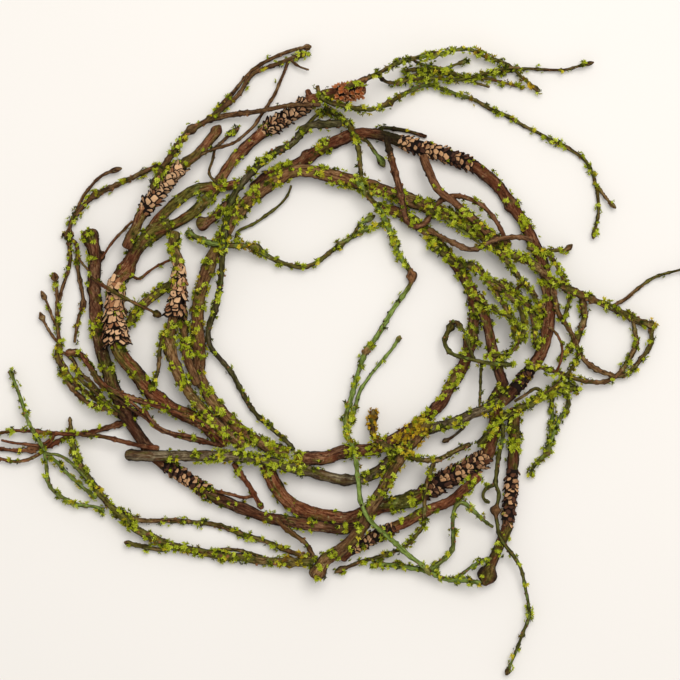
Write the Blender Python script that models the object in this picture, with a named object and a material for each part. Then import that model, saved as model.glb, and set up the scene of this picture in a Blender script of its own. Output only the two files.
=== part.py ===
"""Moss candle ring: a wreath of bent vines, mossy twigs and flaky bark sleeves, lying flat round a hole.

Each vine or twig is a stem: a route of hand-chosen points in plan, in millimetres, with a width at each end.
The stems are laid down one after the other, lowest first, and each drapes over those that already lie there.
"""
import math
import random

import bmesh
import bpy
import numpy as np
from mathutils import Matrix, Vector

# Routes and widths of the stems, in millimetres
MM = 0.001
STEP = 1.5
SPAN_SAMPLES = 12
WAVE = 8.0
WAVE_SHARE = 0.05
SHORT_WAVE = 3.4
SHORT_WAVE_SHARE = 0.035
KNOT_REACH = 4.0
BUD_END = 0.12

# How the stems are laid on each other, in millimetres. The first few lie flat, the others' tips are raised.
GAP = 0.3
FLOOR_GAP = 1.2
TIP_LIFT = 4.0
FLAT_NODES = 5
ROOT_BLEND = 5.0
SAG = 0.0035
EASE = 6.0
FOOT_CUT = 0.8
FOOT_REACH = 26.0

# How finely the stems are built: sides by width, and how far a straight stretch may leave the route
THICK = 6.2
MEDIUM = 3.0
DEVIATION = 0.48
THIN_DEVIATION = 0.65
HEIGHT_WEIGHT = 1.5
WELD = 1e-6
SCRAP_WELD = 2e-6
STEM_CREASE = 50
SLEEVE_CREASE = 40

# Flaky sleeves
SLEEVE_SAMPLE = 0.5
SLEEVE_CLEARANCE = 0.35
SLEEVE_WALL = 0.7
SLEEVE_FLOOR = 0.5
SLEEVE_RING = 3.5
SLEEVE_SIDES = 12
SLEEVE_BORE_SIDES = 8
SLEEVE_END = 0.72
SLEEVE_END_REACH = 4.0
FLARE_POWER = 3
BORE_DEVIATION = 0.05
CHIP_RELIEF = 0.34
CHIP_LEAST = 0.55
CHIP_SINK = 0.25

# Moss leaves: one for each spacing where a stem's moss is 1
TUFT_SPACING = 46.0
LEAF_TRIES = 6
LEAF_SPREAD = 75
LEAF_LEAN = 0.9
LEAF_SHORTEST = 3.0
LEAF_LONGEST = 5.5
LEAF_NARROWEST = 1.7
LEAF_WIDEST = 2.6
LEAF_CLEARANCE = 0.5
LEAF_FLOOR_GAP = 1.0
SLEEVE_MARGIN = 4
SEED = 7

# The block under the surface that cuts the feet flat, in metres
BLOCK_WIDTH = 0.6
BLOCK_DEPTH = 0.02

# Colours: red, green, blue as light, then roughness
BARK = ((0.150, 0.070, 0.035), 0.85)
DARK_BARK = ((0.060, 0.032, 0.022), 0.8)
OLIVE_BARK = ((0.130, 0.120, 0.035), 0.85)
GREY_BARK = ((0.180, 0.150, 0.110), 0.9)
FLAKES = ((0.560, 0.360, 0.160), 0.8)
DARK_FLAKES = ((0.200, 0.110, 0.060), 0.85)


def stem(wide, tip, points, **more):
    """A route in plan with its first and last width, and what grows on it."""
    return {"wide": wide, "tip": tip, "points": points, **more}


# Nodes from the lowest to the highest: name, finish and stems. A stem after the first starts on an earlier
# one. knots are (x, y, radius), sleeves are (name, start, end, width, flared width, finish), bud and head are
# (radius, half length) at the stem's end and start, foot is where a vine rests, lift raises its tip.
WREATH = [
    ("bottom_vine", BARK, [
        stem(8.5, 8, [(-44, -63), (-41, -72), (-36, -80), (-30, -86.5), (-21, -91), (-8, -94.5), (5, -96),
                      (14, -93), (24, -89), (33, -87), (43, -83.5), (50, -80), (68, -69.5), (87, -59),
                      (91, -48), (94, -35), (93, -27), (98, -17)],
             knots=[(43, -83.5, 5.4), (93, -27, 5.2)], foot=(22, -90), moss=0.5,
             sleeves=[("chip_sleeve_bottom", (52, -79), (86, -60), 14, 14, DARK_FLAKES)])]),
    ("right_arch_vine", BARK, [
        stem(7, 7, [(-52, 103), (-43.5, 110.5), (-36, 114), (-26, 118), (-19, 122.5), (-10, 128), (0, 133),
                    (9, 136), (19, 136.5), (29, 134), (38, 131), (58, 125), (80, 117), (95, 105), (104, 92.5),
                    (111, 82), (117, 70), (122, 59), (125, 48), (126.5, 33), (125.5, 22), (122, 6),
                    (114, -6), (104, -18), (97, -25)],
             knots=[(-19, 122.5, 4.6), (104, 92.5, 4.6)], foot=(99, 99.5), moss=0.6,
             sleeves=[("chip_sleeve_arch", (38, 131), (79, 117.5), 11, 11, DARK_FLAKES),
                      ("chip_sleeve_right", (114, -6), (104, -18), 9.5, 9.5, DARK_FLAKES)]),
        stem(2.4, 2, [(22, 136.5), (25, 140.2), (33, 139.6), (41, 138.2), (47, 136.5),
                      (52, 135)], moss=1.5)]),
    ("inner_vine_left", OLIVE_BARK, [
        stem(8, 7.5, [(101, 68), (90, 73), (82, 79), (73, 84.5), (64, 88), (43, 96), (20, 104), (0, 109.5),
                      (-19, 113.5), (-30, 112.5), (-47, 102), (-61, 89), (-72, 71), (-79, 57), (-85, 38),
                      (-86, 20), (-84.5, 2), (-85, -9), (-76, -26), (-61, -42), (-44, -52), (-33, -56)],
             knots=[(-61, 89, 5)], moss=1.2)]),
    ("inner_vine_right", DARK_BARK, [
        stem(8, 6, [(-26, -59), (-8, -59), (0, -55.5), (18, -54), (29, -51), (36, -46.5), (46, -40.5),
                    (55, -32), (62, -24.5), (66, -16), (74, -3.5), (79, 12), (81.5, 30), (79, 42), (73, 53),
                    (66, 62), (56, 74), (44, 84), (36, 89), (25, 92)],
             knots=[(29, -51, 4.8), (79, 12, 4.9)], moss=1.2)]),
    ("left_brown_twig", BARK, [
        stem(3.6, 2, [(-118, -30), (-124, -33.5), (-129, -37), (-133.6, -38.8), (-142.4, -41.5), (-151, -44),
                      (-160, -45), (-168.8, -48.5), (-175.8, -52), (-186.4, -54.2), (-195, -54.7),
                      (-204, -53.8), (-213, -52)],
             knots=[(-186.4, -54.2, 2.6)], bud=(1.8, 3), moss=0.4)]),
    ("outer_left_vine", DARK_BARK, [
        stem(8, 6.5, [(-151, 76), (-148, 66), (-148, 56), (-148.5, 46), (-147.5, 36), (-146.5, 22),
                      (-144.5, 8), (-140, -6), (-136, -18), (-129, -32.5), (-122, -44), (-117, -51),
                      (-109, -60), (-91, -72), (-76, -82), (-68, -86), (-57, -90), (-45, -94.5), (-30, -97),
                      (-15, -99.5), (0, -101.5), (12, -100.5)],
             knots=[(-150.5, 74, 5.6), (-129, -32.5, 4.9)], foot=(-148, 48), moss=1.0,
             sleeves=[("chip_sleeve_outer", (-106, -62), (-79, -80.5), 10.5, 10.5, DARK_FLAKES)]),
        stem(4, 3.6, [(-147.5, 55), (-146, 60), (-142.5, 65)], bud=(3, 3))]),
    ("mossy_branch", OLIVE_BARK, [
        stem(5.5, 5, [(-126.5, 22), (-124.8, 26.5), (-119.5, 32.7), (-111.6, 39), (-104.5, 44), (-99, 47)],
             moss=2)]),
    ("right_second_vine", DARK_BARK, [
        stem(6.5, 6, [(83, 38), (86, 29), (89, 19), (91, 8), (93, 0), (95, -8), (98, -15)], moss=1)]),
    ("trunk_left", BARK, [
        stem(8, 9, [(-70, -50), (-80, -40), (-90, -34), (-99, -30.5), (-108, -24.5), (-116, -17), (-123, -7),
                    (-129, 0), (-133.5, 8), (-135, 28), (-134, 47), (-128.5, 54), (-124, 64), (-119, 70.5),
                    (-112, 77), (-104, 81)],
             knots=[(-128.5, 55, 5.6), (-108, -24.5, 5)], moss=0.7,
             sleeves=[("chip_sleeve_trunk", (-134.3, 46), (-134.2, 12), 13, 19, FLAKES)]),
        stem(7, 5.5, [(-116, 74), (-111.5, 82), (-104.5, 90), (-96.5, 97), (-88.5, 102), (-79, 104),
                      (-70, 104.5), (-60, 106)],
             moss=0.6),
        stem(6.5, 6.5, [(-106, 80), (-100, 82), (-90.5, 87.5), (-82.5, 94.5), (-76, 102), (-70, 112),
                        (-64, 121), (-57.5, 127.5), (-50.5, 134), (-44, 139), (-32, 146), (-20, 154),
                        (-13, 157), (-4, 159.5), (4, 160.5), (14, 161.5)],
             moss=0.5, lift=16,
             sleeves=[("chip_sleeve_upper", (-44, 139), (-21, 153.5), 11, 11, FLAKES),
                      ("red_curled_flakes", (-1, 160), (12.5, 161.4), 10.5, 11.5, BARK)]),
        stem(4, 3.4, [(-17, 155.3), (-18.5, 158.5), (-19.5, 162)]),
        stem(1.8, 1.5, [(-129, 55), (-122, 48.5), (-116, 53), (-109, 57.4), (-102.5, 60.2)])]),
    ("inner_left_third", OLIVE_BARK, [
        stem(5.5, 5, [(-95, 30), (-94, 16), (-92.5, 4), (-89, -6), (-86, -14)], moss=1.2)]),
    ("lower_second_vine", BARK, [
        stem(6.5, 6, [(1, -119), (6, -114.5), (32, -101), (39.5, -98), (47, -93.5), (55, -89), (62.5, -86.5),
                      (69, -82.5), (75, -77), (82, -70)],
             moss=0.8, sleeves=[("chip_sleeve_lower", (7, -114), (31, -101.5), 9.5, 9.5, DARK_FLAKES)])]),
    ("inner_left_twigs", OLIVE_BARK, [
        stem(2.4, 2, [(-107, 16), (-108.5, 5), (-109, -6), (-111.6, -14), (-114, -19.4)], moss=1),
        stem(2, 1.8, [(-107.3, 14), (-105.4, 4.3), (-102, -1.8)])]),
    ("lower_mossy_twig", OLIVE_BARK, [
        stem(2.6, 3, [(-132, -91), (-124.8, -95.4), (-119.5, -97), (-109, -97), (-98.4, -97), (-87, -98),
                      (-76.4, -99.3), (-68.5, -101.5), (-57.7, -106), (-48, -108.6), (-39, -112),
                      (-30.4, -115.6), (-20.7, -118.2), (-14.5, -119.6)],
             moss=1.8),
        stem(2.8, 3, [(-15.5, -119.4), (-20.7, -110.3), (-26, -106), (-33, -100.6), (-38, -95)])]),
    ("long_mossy_twig", OLIVE_BARK, [
        stem(4, 5, [(-162, -43), (-161.3, -51), (-160, -57.3), (-156.5, -64.3), (-152, -70.5),
                    (-147.7, -76.7),
                    (-142.4, -83), (-137, -89), (-131, -94.3), (-126.5, -98.7), (-123, -102), (-116, -105.5),
                    (-109, -109), (-100, -112.5), (-89.6, -114.7), (-79, -117), (-70, -118.7), (-61, -119),
                    (-48, -121), (-35, -121.3), (-26, -121.8), (-17, -122)],
             knots=[(-30.4, -121, 3.7)], moss=1.8),
        stem(2.6, 1.7, [(-161.8, -44.5), (-162.4, -40), (-163, -34.5)], bud=(1.5, 1.8)),
        stem(2, 1.8, [(-79, -116), (-70, -114.4), (-59.4, -115.3), (-47, -118.6)]),
        stem(2.6, 2.6, [(-101, -112.6), (-107, -114.6), (-115, -113.4), (-123, -111.6), (-130, -110)],
             bud=(2, 2.6), moss=1)]),
    ("left_twig_fan", BARK, [
        stem(3, 1.8, [(-109, -53), (-116, -52), (-124.8, -50.3), (-133.6, -48), (-142.4, -46),
                      (-154.7, -44.5),
                      (-164.4, -44.5), (-173, -44), (-186.4, -43), (-195, -42.7), (-204, -44), (-212, -46)],
             bud=(1.6, 3), knots=[(-182, -43.4, 1.9)], moss=0.6),
        stem(1.8, 1.5, [(-170, -44.2), (-179, -51), (-186.4, -51), (-197, -50), (-204, -48.5)]),
        stem(2, 1.8, [(-172, -46), (-179.4, -55.5), (-184.6, -58.6), (-190, -60.8), (-198.7, -61.3),
                      (-204, -59.6), (-210, -60)], bud=(1.5, 3))]),
    ("left_green_spray", OLIVE_BARK, [
        stem(2.2, 2, [(-142.4, -91.6), (-147.7, -88.5), (-156.5, -87.7), (-161.8, -85.5), (-168.8, -82),
                      (-174, -77.5), (-176.3, -72), (-176.7, -65), (-177.6, -56.4), (-179.4, -51),
                      (-183, -45), (-187.3, -37), (-191, -26.5), (-195, -16), (-199.2, -6.2)],
             bud=(1.8, 1.8), moss=1.8),
        stem(2.2, 2, [(-177.4, -57.5), (-171.4, -61), (-166, -67), (-160, -72.3), (-154.7, -76.7),
                      (-149.4, -81), (-146.8, -83)], moss=1),
        stem(1.8, 1.6, [(-177.6, -56.4), (-168.8, -57.3), (-161.8, -61.7), (-156.5, -67), (-152, -71.5)])]),
    ("far_left_sprig", OLIVE_BARK, [
        stem(2.8, 2, [(-140.6, -28), (-146, -24.7), (-151, -21), (-156.5, -17), (-162, -11.5), (-166, -4.5),
                      (-168.8, 0.8), (-168.6, 7), (-169.7, 12.5), (-170.6, 20.4), (-171, 29), (-170.6, 38),
                      (-171.4, 45), (-172.3, 52.5)],
             bud=(2.3, 2.3), moss=1),
        stem(1.8, 1.5, [(-170.6, 19), (-174, 26.5), (-176.7, 34.5), (-180.2, 41.5)], bud=(1.6, 3)),
        stem(1.8, 1.5, [(-170, 10), (-174, 15), (-178.5, 23), (-181, 28.7)], bud=(1.6, 3)),
        stem(2.8, 3, [(-170, 10), (-171, 2.6), (-168, -4.5), (-164.4, -13.3), (-159, -19.4), (-153, -24.7),
                      (-146, -28), (-139.8, -29), (-133.6, -32.6)], moss=1.5),
        stem(2.2, 2, [(-167.5, 5), (-161, 0), (-159, -5.4), (-154.7, -9.8), (-149.4, -14.2), (-146, -18.6),
                      (-141.5, -24.7)])]),
    ("left_outer_spray", OLIVE_BARK, [
        stem(3.2, 2, [(-94, 119), (-103, 117), (-111.6, 116), (-119.5, 113), (-126.5, 109.3), (-134.5, 105.8),
                      (-140.6, 103), (-147, 100), (-151, 97), (-155.6, 91.7), (-159, 88), (-162, 84),
                      (-163.5, 76.7), (-163.5, 69.7), (-162.6, 62.6), (-163.5, 55.6), (-165.3, 49.4),
                      (-168, 41.5), (-169, 36)],
             knots=[(-147, 100, 2.8), (-163.6, 75, 2.8)], moss=1.2),
        stem(2, 1.8, [(-161, 86), (-158, 92.6), (-154.7, 99.6), (-151, 104), (-147.7, 108), (-142.4, 112),
                      (-137, 114), (-131.8, 115.6)], bud=(1.9, 4)),
        stem(2.6, 1.8, [(-163, 73), (-159, 69.7), (-159, 60), (-157.4, 49.4), (-155.6, 40.6), (-154.7, 32.7),
                        (-157.4, 26.5), (-159, 18.6), (-160, 10.7)],
             knots=[(-154.7, 32.7, 2.2)], moss=0.8),
        stem(1.6, 1.4, [(-159, 64), (-156, 59), (-151.5, 54)])]),
    ("dark_cross_twig", DARK_BARK, [
        stem(2.6, 2.4, [(-137, -21), (-129, -26.5), (-117.7, -33.5), (-111.6, -39.7), (-104.5, -43.2),
                        (-94, -46.7), (-80.8, -49.4), (-72, -51)])]),
    ("brown_cross_twig", BARK, [
        stem(4, 3, [(-164.4, 4.3), (-156.5, 3.4), (-151, -2.7), (-146, -10.6), (-140.6, -16), (-133.6, -19.4),
                    (-124.8, -23), (-116, -25.6), (-109, -27.4), (-98.4, -31.8), (-89.6, -35.3),
                    (-82.5, -39.7), (-73.7, -46), (-69.3, -50.3)], moss=0.3)]),
    ("inner_left_second", OLIVE_BARK, [
        stem(6.5, 6.5, [(-99, 76), (-100, 68), (-97, 58), (-96.5, 42), (-99, 27), (-101.5, 18), (-101.5, 9),
                        (-99, -2), (-95, -12), (-90, -20.5), (-84, -28), (-77, -36), (-68, -44),
                        (-59, -50.5)],
             moss=1.4, sleeves=[("chip_sleeve_inner", (-96.6, 55), (-98.5, 29), 10, 15, FLAKES)])]),
    ("lower_left_link", BARK, [
        stem(3.5, 3, [(-63.8, -62.6), (-59.4, -69.6), (-54, -76.7), (-50.6, -83), (-47, -89)], moss=0.5),
        stem(2, 1.8, [(-51.5, -81.5), (-58, -83), (-64.7, -81), (-74.4, -78.6)])]),
    ("bottom_cross_vine", GREY_BARK, [
        stem(6.5, 6, [(-127, -57), (-116, -57.3), (-100, -57.3), (-85, -57.5), (-70, -57.8), (-52, -59),
                      (-39, -62), (-29, -64.5), (-17, -67), (-8, -69.8), (3, -72.3), (14, -71.4), (23, -67),
                      (30, -60.5), (36, -54), (42, -48), (50, -43), (59, -39.7), (69, -37), (78, -32.7),
                      (87, -29), (94, -24.5)],
             knots=[(3, -72.3, 4)], moss=1.6),
        stem(1.8, 1.5, [(79, -32.5), (74, -41), (67.5, -46.7), (61.8, -49.4)], bud=(1.8, 1.8))]),
    ("right_lower_vine", BARK, [
        stem(7, 6, [(105, -30), (105, -41), (105.5, -50), (104.5, -60), (103, -80), (101, -98), (99.5, -104),
                    (96, -112), (92, -121), (89, -129), (87, -135)],
             bud=(5.8, 5.8), moss=0.5,
             sleeves=[("chip_sleeve_corner", (104, -67), (101.3, -96), 9.8, 9.8, DARK_FLAKES)])]),
    ("curled_tendril", BARK, [
        stem(2.6, 1.6, [(97.7, -38.8), (97.7, -47.6), (95, -59), (94, -68), (93.3, -74), (95.6, -80),
                        (95, -85), (93.4, -91), (94.5, -98), (95.5, -105), (99, -111), (104, -117.4),
                        (109, -126), (111.8, -138.5), (114, -150), (114, -156), (111, -163),
                        (107.4, -172.8), (103.8, -181.6), (100.3, -190)],
             knots=[(93.4, -91, 3.6)], bud=(2, 2)),
        stem(2.4, 1.8, [(93.3, -75), (89, -76.6), (86.2, -79.8), (86.4, -84.2), (90, -86)], moss=1)]),
    ("lower_diagonal_vine", OLIVE_BARK, [
        stem(8, 6, [(-14.5, -129), (-8, -119), (0, -113.5), (8, -106.5), (13.5, -99), (18, -89.5),
                    (25, -78.5), (30, -69), (36, -59), (43, -49.5), (52, -38)],
             knots=[(-13.5, -127, 5)], moss=1.3)]),
    ("dark_stub", DARK_BARK, [
        stem(6, 5, [(-84, 81), (-76, 85.5), (-70, 91), (-63, 98)], knots=[(-83, 82, 4.4)], moss=0.5)]),
    ("stub_left", BARK, [
        stem(6.5, 5.5, [(-127.5, 68), (-124.5, 75), (-121, 82), (-118.5, 88), (-107, 103), (-94, 117.5),
                        (-88, 121.5), (-82, 127.5), (-77, 134), (-72.5, 141)],
             bud=(3.6, 4), moss=0.4,
             sleeves=[("chip_sleeve_left", (-117.5, 89.5), (-95.5, 116), 10.5, 10.5, FLAKES)]),
        stem(1.8, 1.5, [(-121.5, 81), (-124.8, 83.8), (-130, 78.5), (-134.5, 74), (-139, 68),
                        (-143.3, 61)])]),
    ("hole_top_spray", OLIVE_BARK, [
        stem(3.5, 2, [(-92, 77), (-84.5, 73), (-77, 70), (-66.5, 68.8), (-58, 68.6), (-50.6, 67.5),
                      (-45.3, 63.5), (-39, 60), (-31.3, 57.3), (-23.3, 55.6), (-17, 57.4), (-11, 61),
                      (-5.7, 65.3), (0.4, 69.7), (7.5, 74), (13.6, 77.6), (20.7, 81), (27, 83)],
             knots=[(0.4, 69.7, 2), (-50.6, 67.5, 3)], moss=1.2),
        stem(1.8, 1.6, [(7.5, 74), (10, 79.5), (14.5, 83.5), (21, 87)], bud=(2, 4)),
        stem(1.8, 1.5, [(-60, 68.6), (-62.5, 77), (-52.4, 82), (-43.6, 88), (-36.5, 93.4), (-31.3, 99.6),
                        (-29.5, 105)])]),
    ("dark_strand", DARK_BARK, [
        stem(4.2, 2.4, [(28, 133), (30.5, 122.5), (33.5, 111), (36, 101), (37.8, 92), (39.5, 84), (44, 80.2),
                        (49.5, 81), (53.5, 85), (56.5, 91), (60, 95.5), (64.5, 98), (71, 98.7), (80, 96),
                        (87, 91.5), (93, 84.5), (97.5, 76.5), (99.5, 70)], moss=0.4)]),
    ("second_strand", OLIVE_BARK, [
        stem(5, 4.4, [(50, 122), (53.5, 113), (57, 105), (62.5, 98.5), (68.5, 94.3), (75.5, 88), (81.5, 83),
                      (88.5, 76), (94, 72)], moss=0.8)]),
    ("top_middle_spray", OLIVE_BARK, [
        stem(3, 2.6, [(-9, 151.8), (-3.8, 148), (2.4, 144.7), (6.8, 138.5), (9.4, 132.4), (11.2, 126),
                      (12, 119), (12.5, 112), (13.8, 105)], moss=1.4),
        stem(2.4, 2, [(-8, 151), (-13.4, 148), (-17.8, 143.8), (-22, 138.5)], moss=0.8),
        stem(2.2, 2, [(8.6, 134), (16.5, 131.5), (20, 126), (23.5, 122), (26.6, 116.5)], bud=(2.5, 3.4))]),
    ("tan_branch", GREY_BARK, [
        stem(3, 3, [(53.5, 78.5), (62.3, 73), (71, 68.8), (78, 66), (85.5, 68), (91.5, 71.5), (101, 73.5),
                    (110, 73.5), (115, 72)], moss=1.8)]),
    ("inner_right_spray", BARK, [
        stem(2.6, 2.4, [(68.4, 24), (65.8, 18.4), (62.7, 12.2), (64, 7), (67.5, 3.4), (72.8, 1.7), (80, 0),
                        (87.8, -1.8), (97.5, -2.7), (102.7, -2.7)],
             head=(2.2, 4), moss=0.4),
        stem(2, 1.8, [(80, 0), (77.5, 8), (75.5, 15.8), (69.5, 23.5)], bud=(1.7, 3)),
        stem(2.4, 2, [(94, -2.5), (97, 1.5), (102.7, 6), (106.3, 11.4), (107, 16.6), (104.5, 21), (102, 25.4),
                      (95.7, 28), (89.5, 31.6)], moss=1.5),
        stem(1.8, 1.5, [(84.8, -1), (84.3, -10.6), (83.8, -18.6), (83, -28)])]),
    ("right_moss_spray", OLIVE_BARK, [
        stem(4.2, 2.6, [(55, 69.7), (64, 62.6), (71, 57.5), (81.6, 55.6), (88.7, 47.7), (94.8, 43.3),
                        (101, 38), (106.3, 33.6), (109, 26.5), (109.8, 20.4), (109, 11.6)], moss=2.2),
        stem(3, 2.2, [(88.7, 47.7), (93, 41.5), (97.5, 33.6), (101, 27.4), (103.5, 20.4), (103.6, 14)],
             moss=2),
        stem(3, 2.2, [(93, 44.6), (97.5, 46.8), (105.4, 41.5), (111.5, 36), (115.3, 31), (118, 24),
                      (117, 16), (118, 8)], moss=2),
        stem(2.6, 2, [(117.3, 17.5), (121, 27.4), (123, 38), (120.6, 48.5)], moss=1.4),
        stem(2.2, 2, [(105.4, 41.5), (110, 46), (114.4, 44), (118.8, 38)], moss=1.4)]),
    ("right_top_twig", OLIVE_BARK, [
        stem(2.8, 2, [(113, 67.5), (118.8, 66), (124, 64.4), (127.6, 61), (131, 55.6), (134.6, 48.5),
                      (138, 41.5), (138, 34.5), (135.5, 27)], moss=1.6),
        stem(2.4, 2, [(122, 65), (131, 66), (135.5, 65.8), (140, 69.5)], bud=(1.8, 3), moss=1.6)]),
    ("right_branch", OLIVE_BARK, [
        stem(5, 3.6, [(95, 66), (110, 61), (119, 55.5), (127.5, 47), (135, 44), (143.5, 39.7), (152.3, 36),
                      (161, 32.7), (167, 30), (176, 25), (184, 22), (190, 21)],
             moss=1.4, bud=(2.4, 3)),
        stem(2.2, 1.6, [(163, 32), (172, 36.5), (178, 41.5), (183, 45.5), (189, 49.5), (196, 52),
                        (204, 54), (213, 56.5)], bud=(1.7, 4)),
        stem(3, 2.4, [(176.5, 24.8), (179, 11.5), (177, 5), (174, 0), (170.5, -5.5), (166, -10),
                      (159, -13.3), (152, -13.3), (145, -12.4), (139, -10.3), (132, -8), (125.5, -6),
                      (118, -3.6), (112, -2.7)], moss=1.2),
        stem(3, 2.4, [(187, 21.4), (188.3, 13), (186.5, 7), (182, 1), (177.5, -4.5), (172, -9), (167, -10)],
             moss=1.2),
        stem(4, 3, [(146, 38.5), (147.5, 25), (145, 18), (142, 10), (136.5, 5), (132, 0)], moss=1.4),
        stem(3.4, 2.6, [(127, 47.4), (131, 29), (135.5, 22), (139, 16.5), (142, 10), (144.5, 3.5), (149, -2),
                        (155, -6), (160, -8), (166.5, -10)], moss=0.3)]),
    ("green_spray", OLIVE_BARK, [
        stem(4, 4, [(143.5, -18), (136.4, -16), (130, -17.5), (122.3, -20.3), (115.3, -25.6), (108, -29),
                    (101, -32.6), (96, -36), (90, -43), (83.6, -50.3)], moss=2.2),
        stem(2, 1.8, [(122, -20.4), (118, -16.5), (111.8, -20.5), (104.7, -24.6)]),
        stem(2.6, 2, [(134, -16.2), (135.5, -20.3), (138, -24), (137.7, -29), (133.8, -33.5), (131, -38.8),
                      (129.4, -43), (126.7, -50.3)], moss=1.2),
        stem(2.6, 2, [(130, -17.5), (127.6, -25.6), (128.5, -33.5), (127, -41.5), (127.6, -46.7),
                      (126, -53), (123.5, -57.5), (119.7, -61), (116, -65), (114.8, -69.6)],
             knots=[(125.4, -55, 2.8)], moss=1)]),
    ("long_arch_spray", OLIVE_BARK, [
        stem(2.6, 1.8, [(-13.5, 163.5), (-12, 158.5), (-8, 154.5), (2.4, 152), (8.6, 151), (15.6, 150),
                        (22.6, 151), (28.8, 154), (34, 157.5), (41, 161.4), (49, 165), (55, 165.8),
                        (62.3, 163), (72.8, 159.7), (81.6, 157),
                        (90.4, 151.8), (101, 147.4), (111.8, 141), (120.6, 136.8), (127.6, 132.4),
                        (134.6, 129.8), (141.7, 125.4), (148.7, 120), (152.3, 113), (154, 108), (155.8, 99),
                        (156.2, 91), (155.3, 84), (154, 79), (152.7, 73)],
             bud=(1.6, 3), knots=[(28.8, 154, 2.3)], moss=0.7),
        stem(1.8, 1.5, [(154.5, 106), (157.5, 102), (161, 97), (166.3, 91.5)], bud=(1.6, 3))]),
    ("top_right_spray", OLIVE_BARK, [
        stem(2.8, 1.8, [(5, 163), (13, 166), (20, 169.4), (27, 173), (34, 177.3), (43, 180), (50.8, 182),
                        (56.5, 183),
                        (62.3, 184.3), (68.4, 186), (75.5, 187), (81, 186), (87, 182.6), (94, 180.8),
                        (101, 178), (105.6, 174.6), (110, 170), (115.3, 165.8), (120.5, 162)],
             knots=[(56.5, 183, 2.4), (13, 166, 2.2)], moss=1.2, bud=(1.6, 3)),
        stem(2.2, 1.6, [(22, 170.4), (28.8, 167), (37.6, 168.5), (43.8, 172), (59.6, 173), (68.4, 172),
                        (75.5, 170), (81.6, 171), (93.3, 173), (103, 174.6), (112.6, 176), (120.6, 175.5),
                        (134.6, 175), (140.8, 176.4), (147, 178), (153, 179.5)], bud=(1.5, 3), moss=0.5),
        stem(1.8, 1.5, [(43, 180), (49, 178), (55, 177.3), (63, 175.5), (69.3, 178), (77, 180.4)],
             bud=(1.4, 3), moss=0.5),
        stem(1.6, 1.4, [(73, 170.7), (79, 168), (90, 164.6)])]),
    ("lichen_stem", GREY_BARK, [
        stem(4.6, 2.5, [(0, 142), (-8, 141.5), (-17, 141), (-22.5, 137.5), (-27, 131), (-35, 126.5),
                        (-42, 122.5), (-49, 116.5), (-55, 110), (-61, 102.5), (-65.5, 94), (-68, 83),
                        (-69.5, 70), (-71, 53), (-72.5, 42), (-75, 31), (-79, 20), (-79.5, 12), (-77, 6),
                        (-71, -1), (-64.5, -9), (-59, -19.5), (-54, -28), (-48.5, -35), (-40.5, -42),
                        (-33.5, -48), (-28, -54)], moss=0.5)]),
    ("upper_left_spray", OLIVE_BARK, [
        stem(4, 2, [(-112, 103), (-107, 113), (-103.5, 119), (-99, 126), (-94.7, 133), (-89.4, 138.6),
                    (-84, 141.5), (-79, 144.7), (-74, 149), (-68, 154), (-61, 160), (-57, 167),
                    (-54, 171.5), (-47, 175.5), (-36.6, 179), (-29.6, 182), (-19.5, 185)],
             knots=[(-89.4, 138.6, 3.2)], bud=(1.8, 4), moss=1.3),
        stem(2.4, 2, [(-76, 147.2), (-70, 156), (-64, 162), (-57, 171), (-48, 178.5), (-38, 183.5),
                      (-28, 187), (-17.5, 189)], bud=(2.3, 2.3), moss=0.6),
        stem(2, 1.8, [(-31, 181.4), (-33.5, 174), (-36.6, 167), (-39, 160.6), (-42, 156), (-45.4, 150.5),
                      (-49, 145.5), (-51.6, 141), (-57, 136), (-62, 131.5), (-66.5, 129.3), (-72, 127.5),
                      (-77, 126), (-83, 123)]),
        stem(1.8, 1.6, [(-75.3, 126.6), (-77, 119), (-79, 114), (-78, 110), (-74, 107)]),
        stem(2, 1.8, [(-76, 126.3), (-72, 130.5), (-67.4, 135), (-61, 140)], bud=(2, 4), moss=0.8),
        stem(3.4, 2.4, [(-80, 144), (-72, 146.5), (-62, 148), (-50, 149), (-38, 151), (-28, 152.4),
                        (-12, 152.5)], moss=0.2),
        stem(1.4, 1.2, [(-30.5, 181.7), (-25, 177), (-19, 175)])]),
    ("ball_twig", BARK, [
        stem(2, 1.8, [(-149.4, 49.4), (-142.4, 45), (-136.2, 41.5), (-128.3, 37), (-120.4, 33),
                      (-114.2, 30), (-108, 26.5)], bud=(2.3, 2.3))]),
    ("bottom_right_spray", OLIVE_BARK, [
        stem(3, 2.6, [(20, -123), (28.8, -123.5), (37.6, -124.4), (46.4, -126), (55, -128), (61.4, -131.4),
                      (70, -132.3), (75.5, -132.3), (84, -133.5)], moss=2),
        stem(2, 1.8, [(70, -132.2), (79, -124.4), (85, -121), (91, -119)], bud=(1.7, 3), moss=1),
        stem(3, 2, [(53, -127.5), (59.6, -122.7), (65, -118), (68, -113), (68, -106), (67.5, -98), (68, -91),
                    (69.5, -86.5), (73, -84.8), (77, -87.4), (81.6, -91.8), (87, -97), (92, -100.6)],
             moss=1)]),
    ("ochre_twig", OLIVE_BARK, [
        stem(3.4, 3, [(20, -30), (19.6, -38), (19.2, -44), (23, -48.6), (30.6, -52.6), (39.4, -56),
                      (46.4, -59), (53.5, -60), (59, -59.5), (64, -57.3), (71, -53.8), (78, -51)],
             head=(2.4, 5), moss=1.6),
        stem(2.4, 2, [(57, -60), (53.5, -68), (51.7, -75), (50.8, -83), (50.4, -91.6), (50, -99.8),
                      (46.4, -104.2), (42, -109.4), (35.8, -113.8), (28.8, -116.5), (21.8, -119),
                      (13.8, -121), (6.8, -124), (-3, -128)], bud=(1.9, 4), moss=0.4)]),
    ("hole_twig", BARK, [
        stem(3, 2.6, [(11, 107), (17, 98), (24, 90), (27.5, 83), (31.4, 75), (33, 69.7), (35, 64.4),
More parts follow.
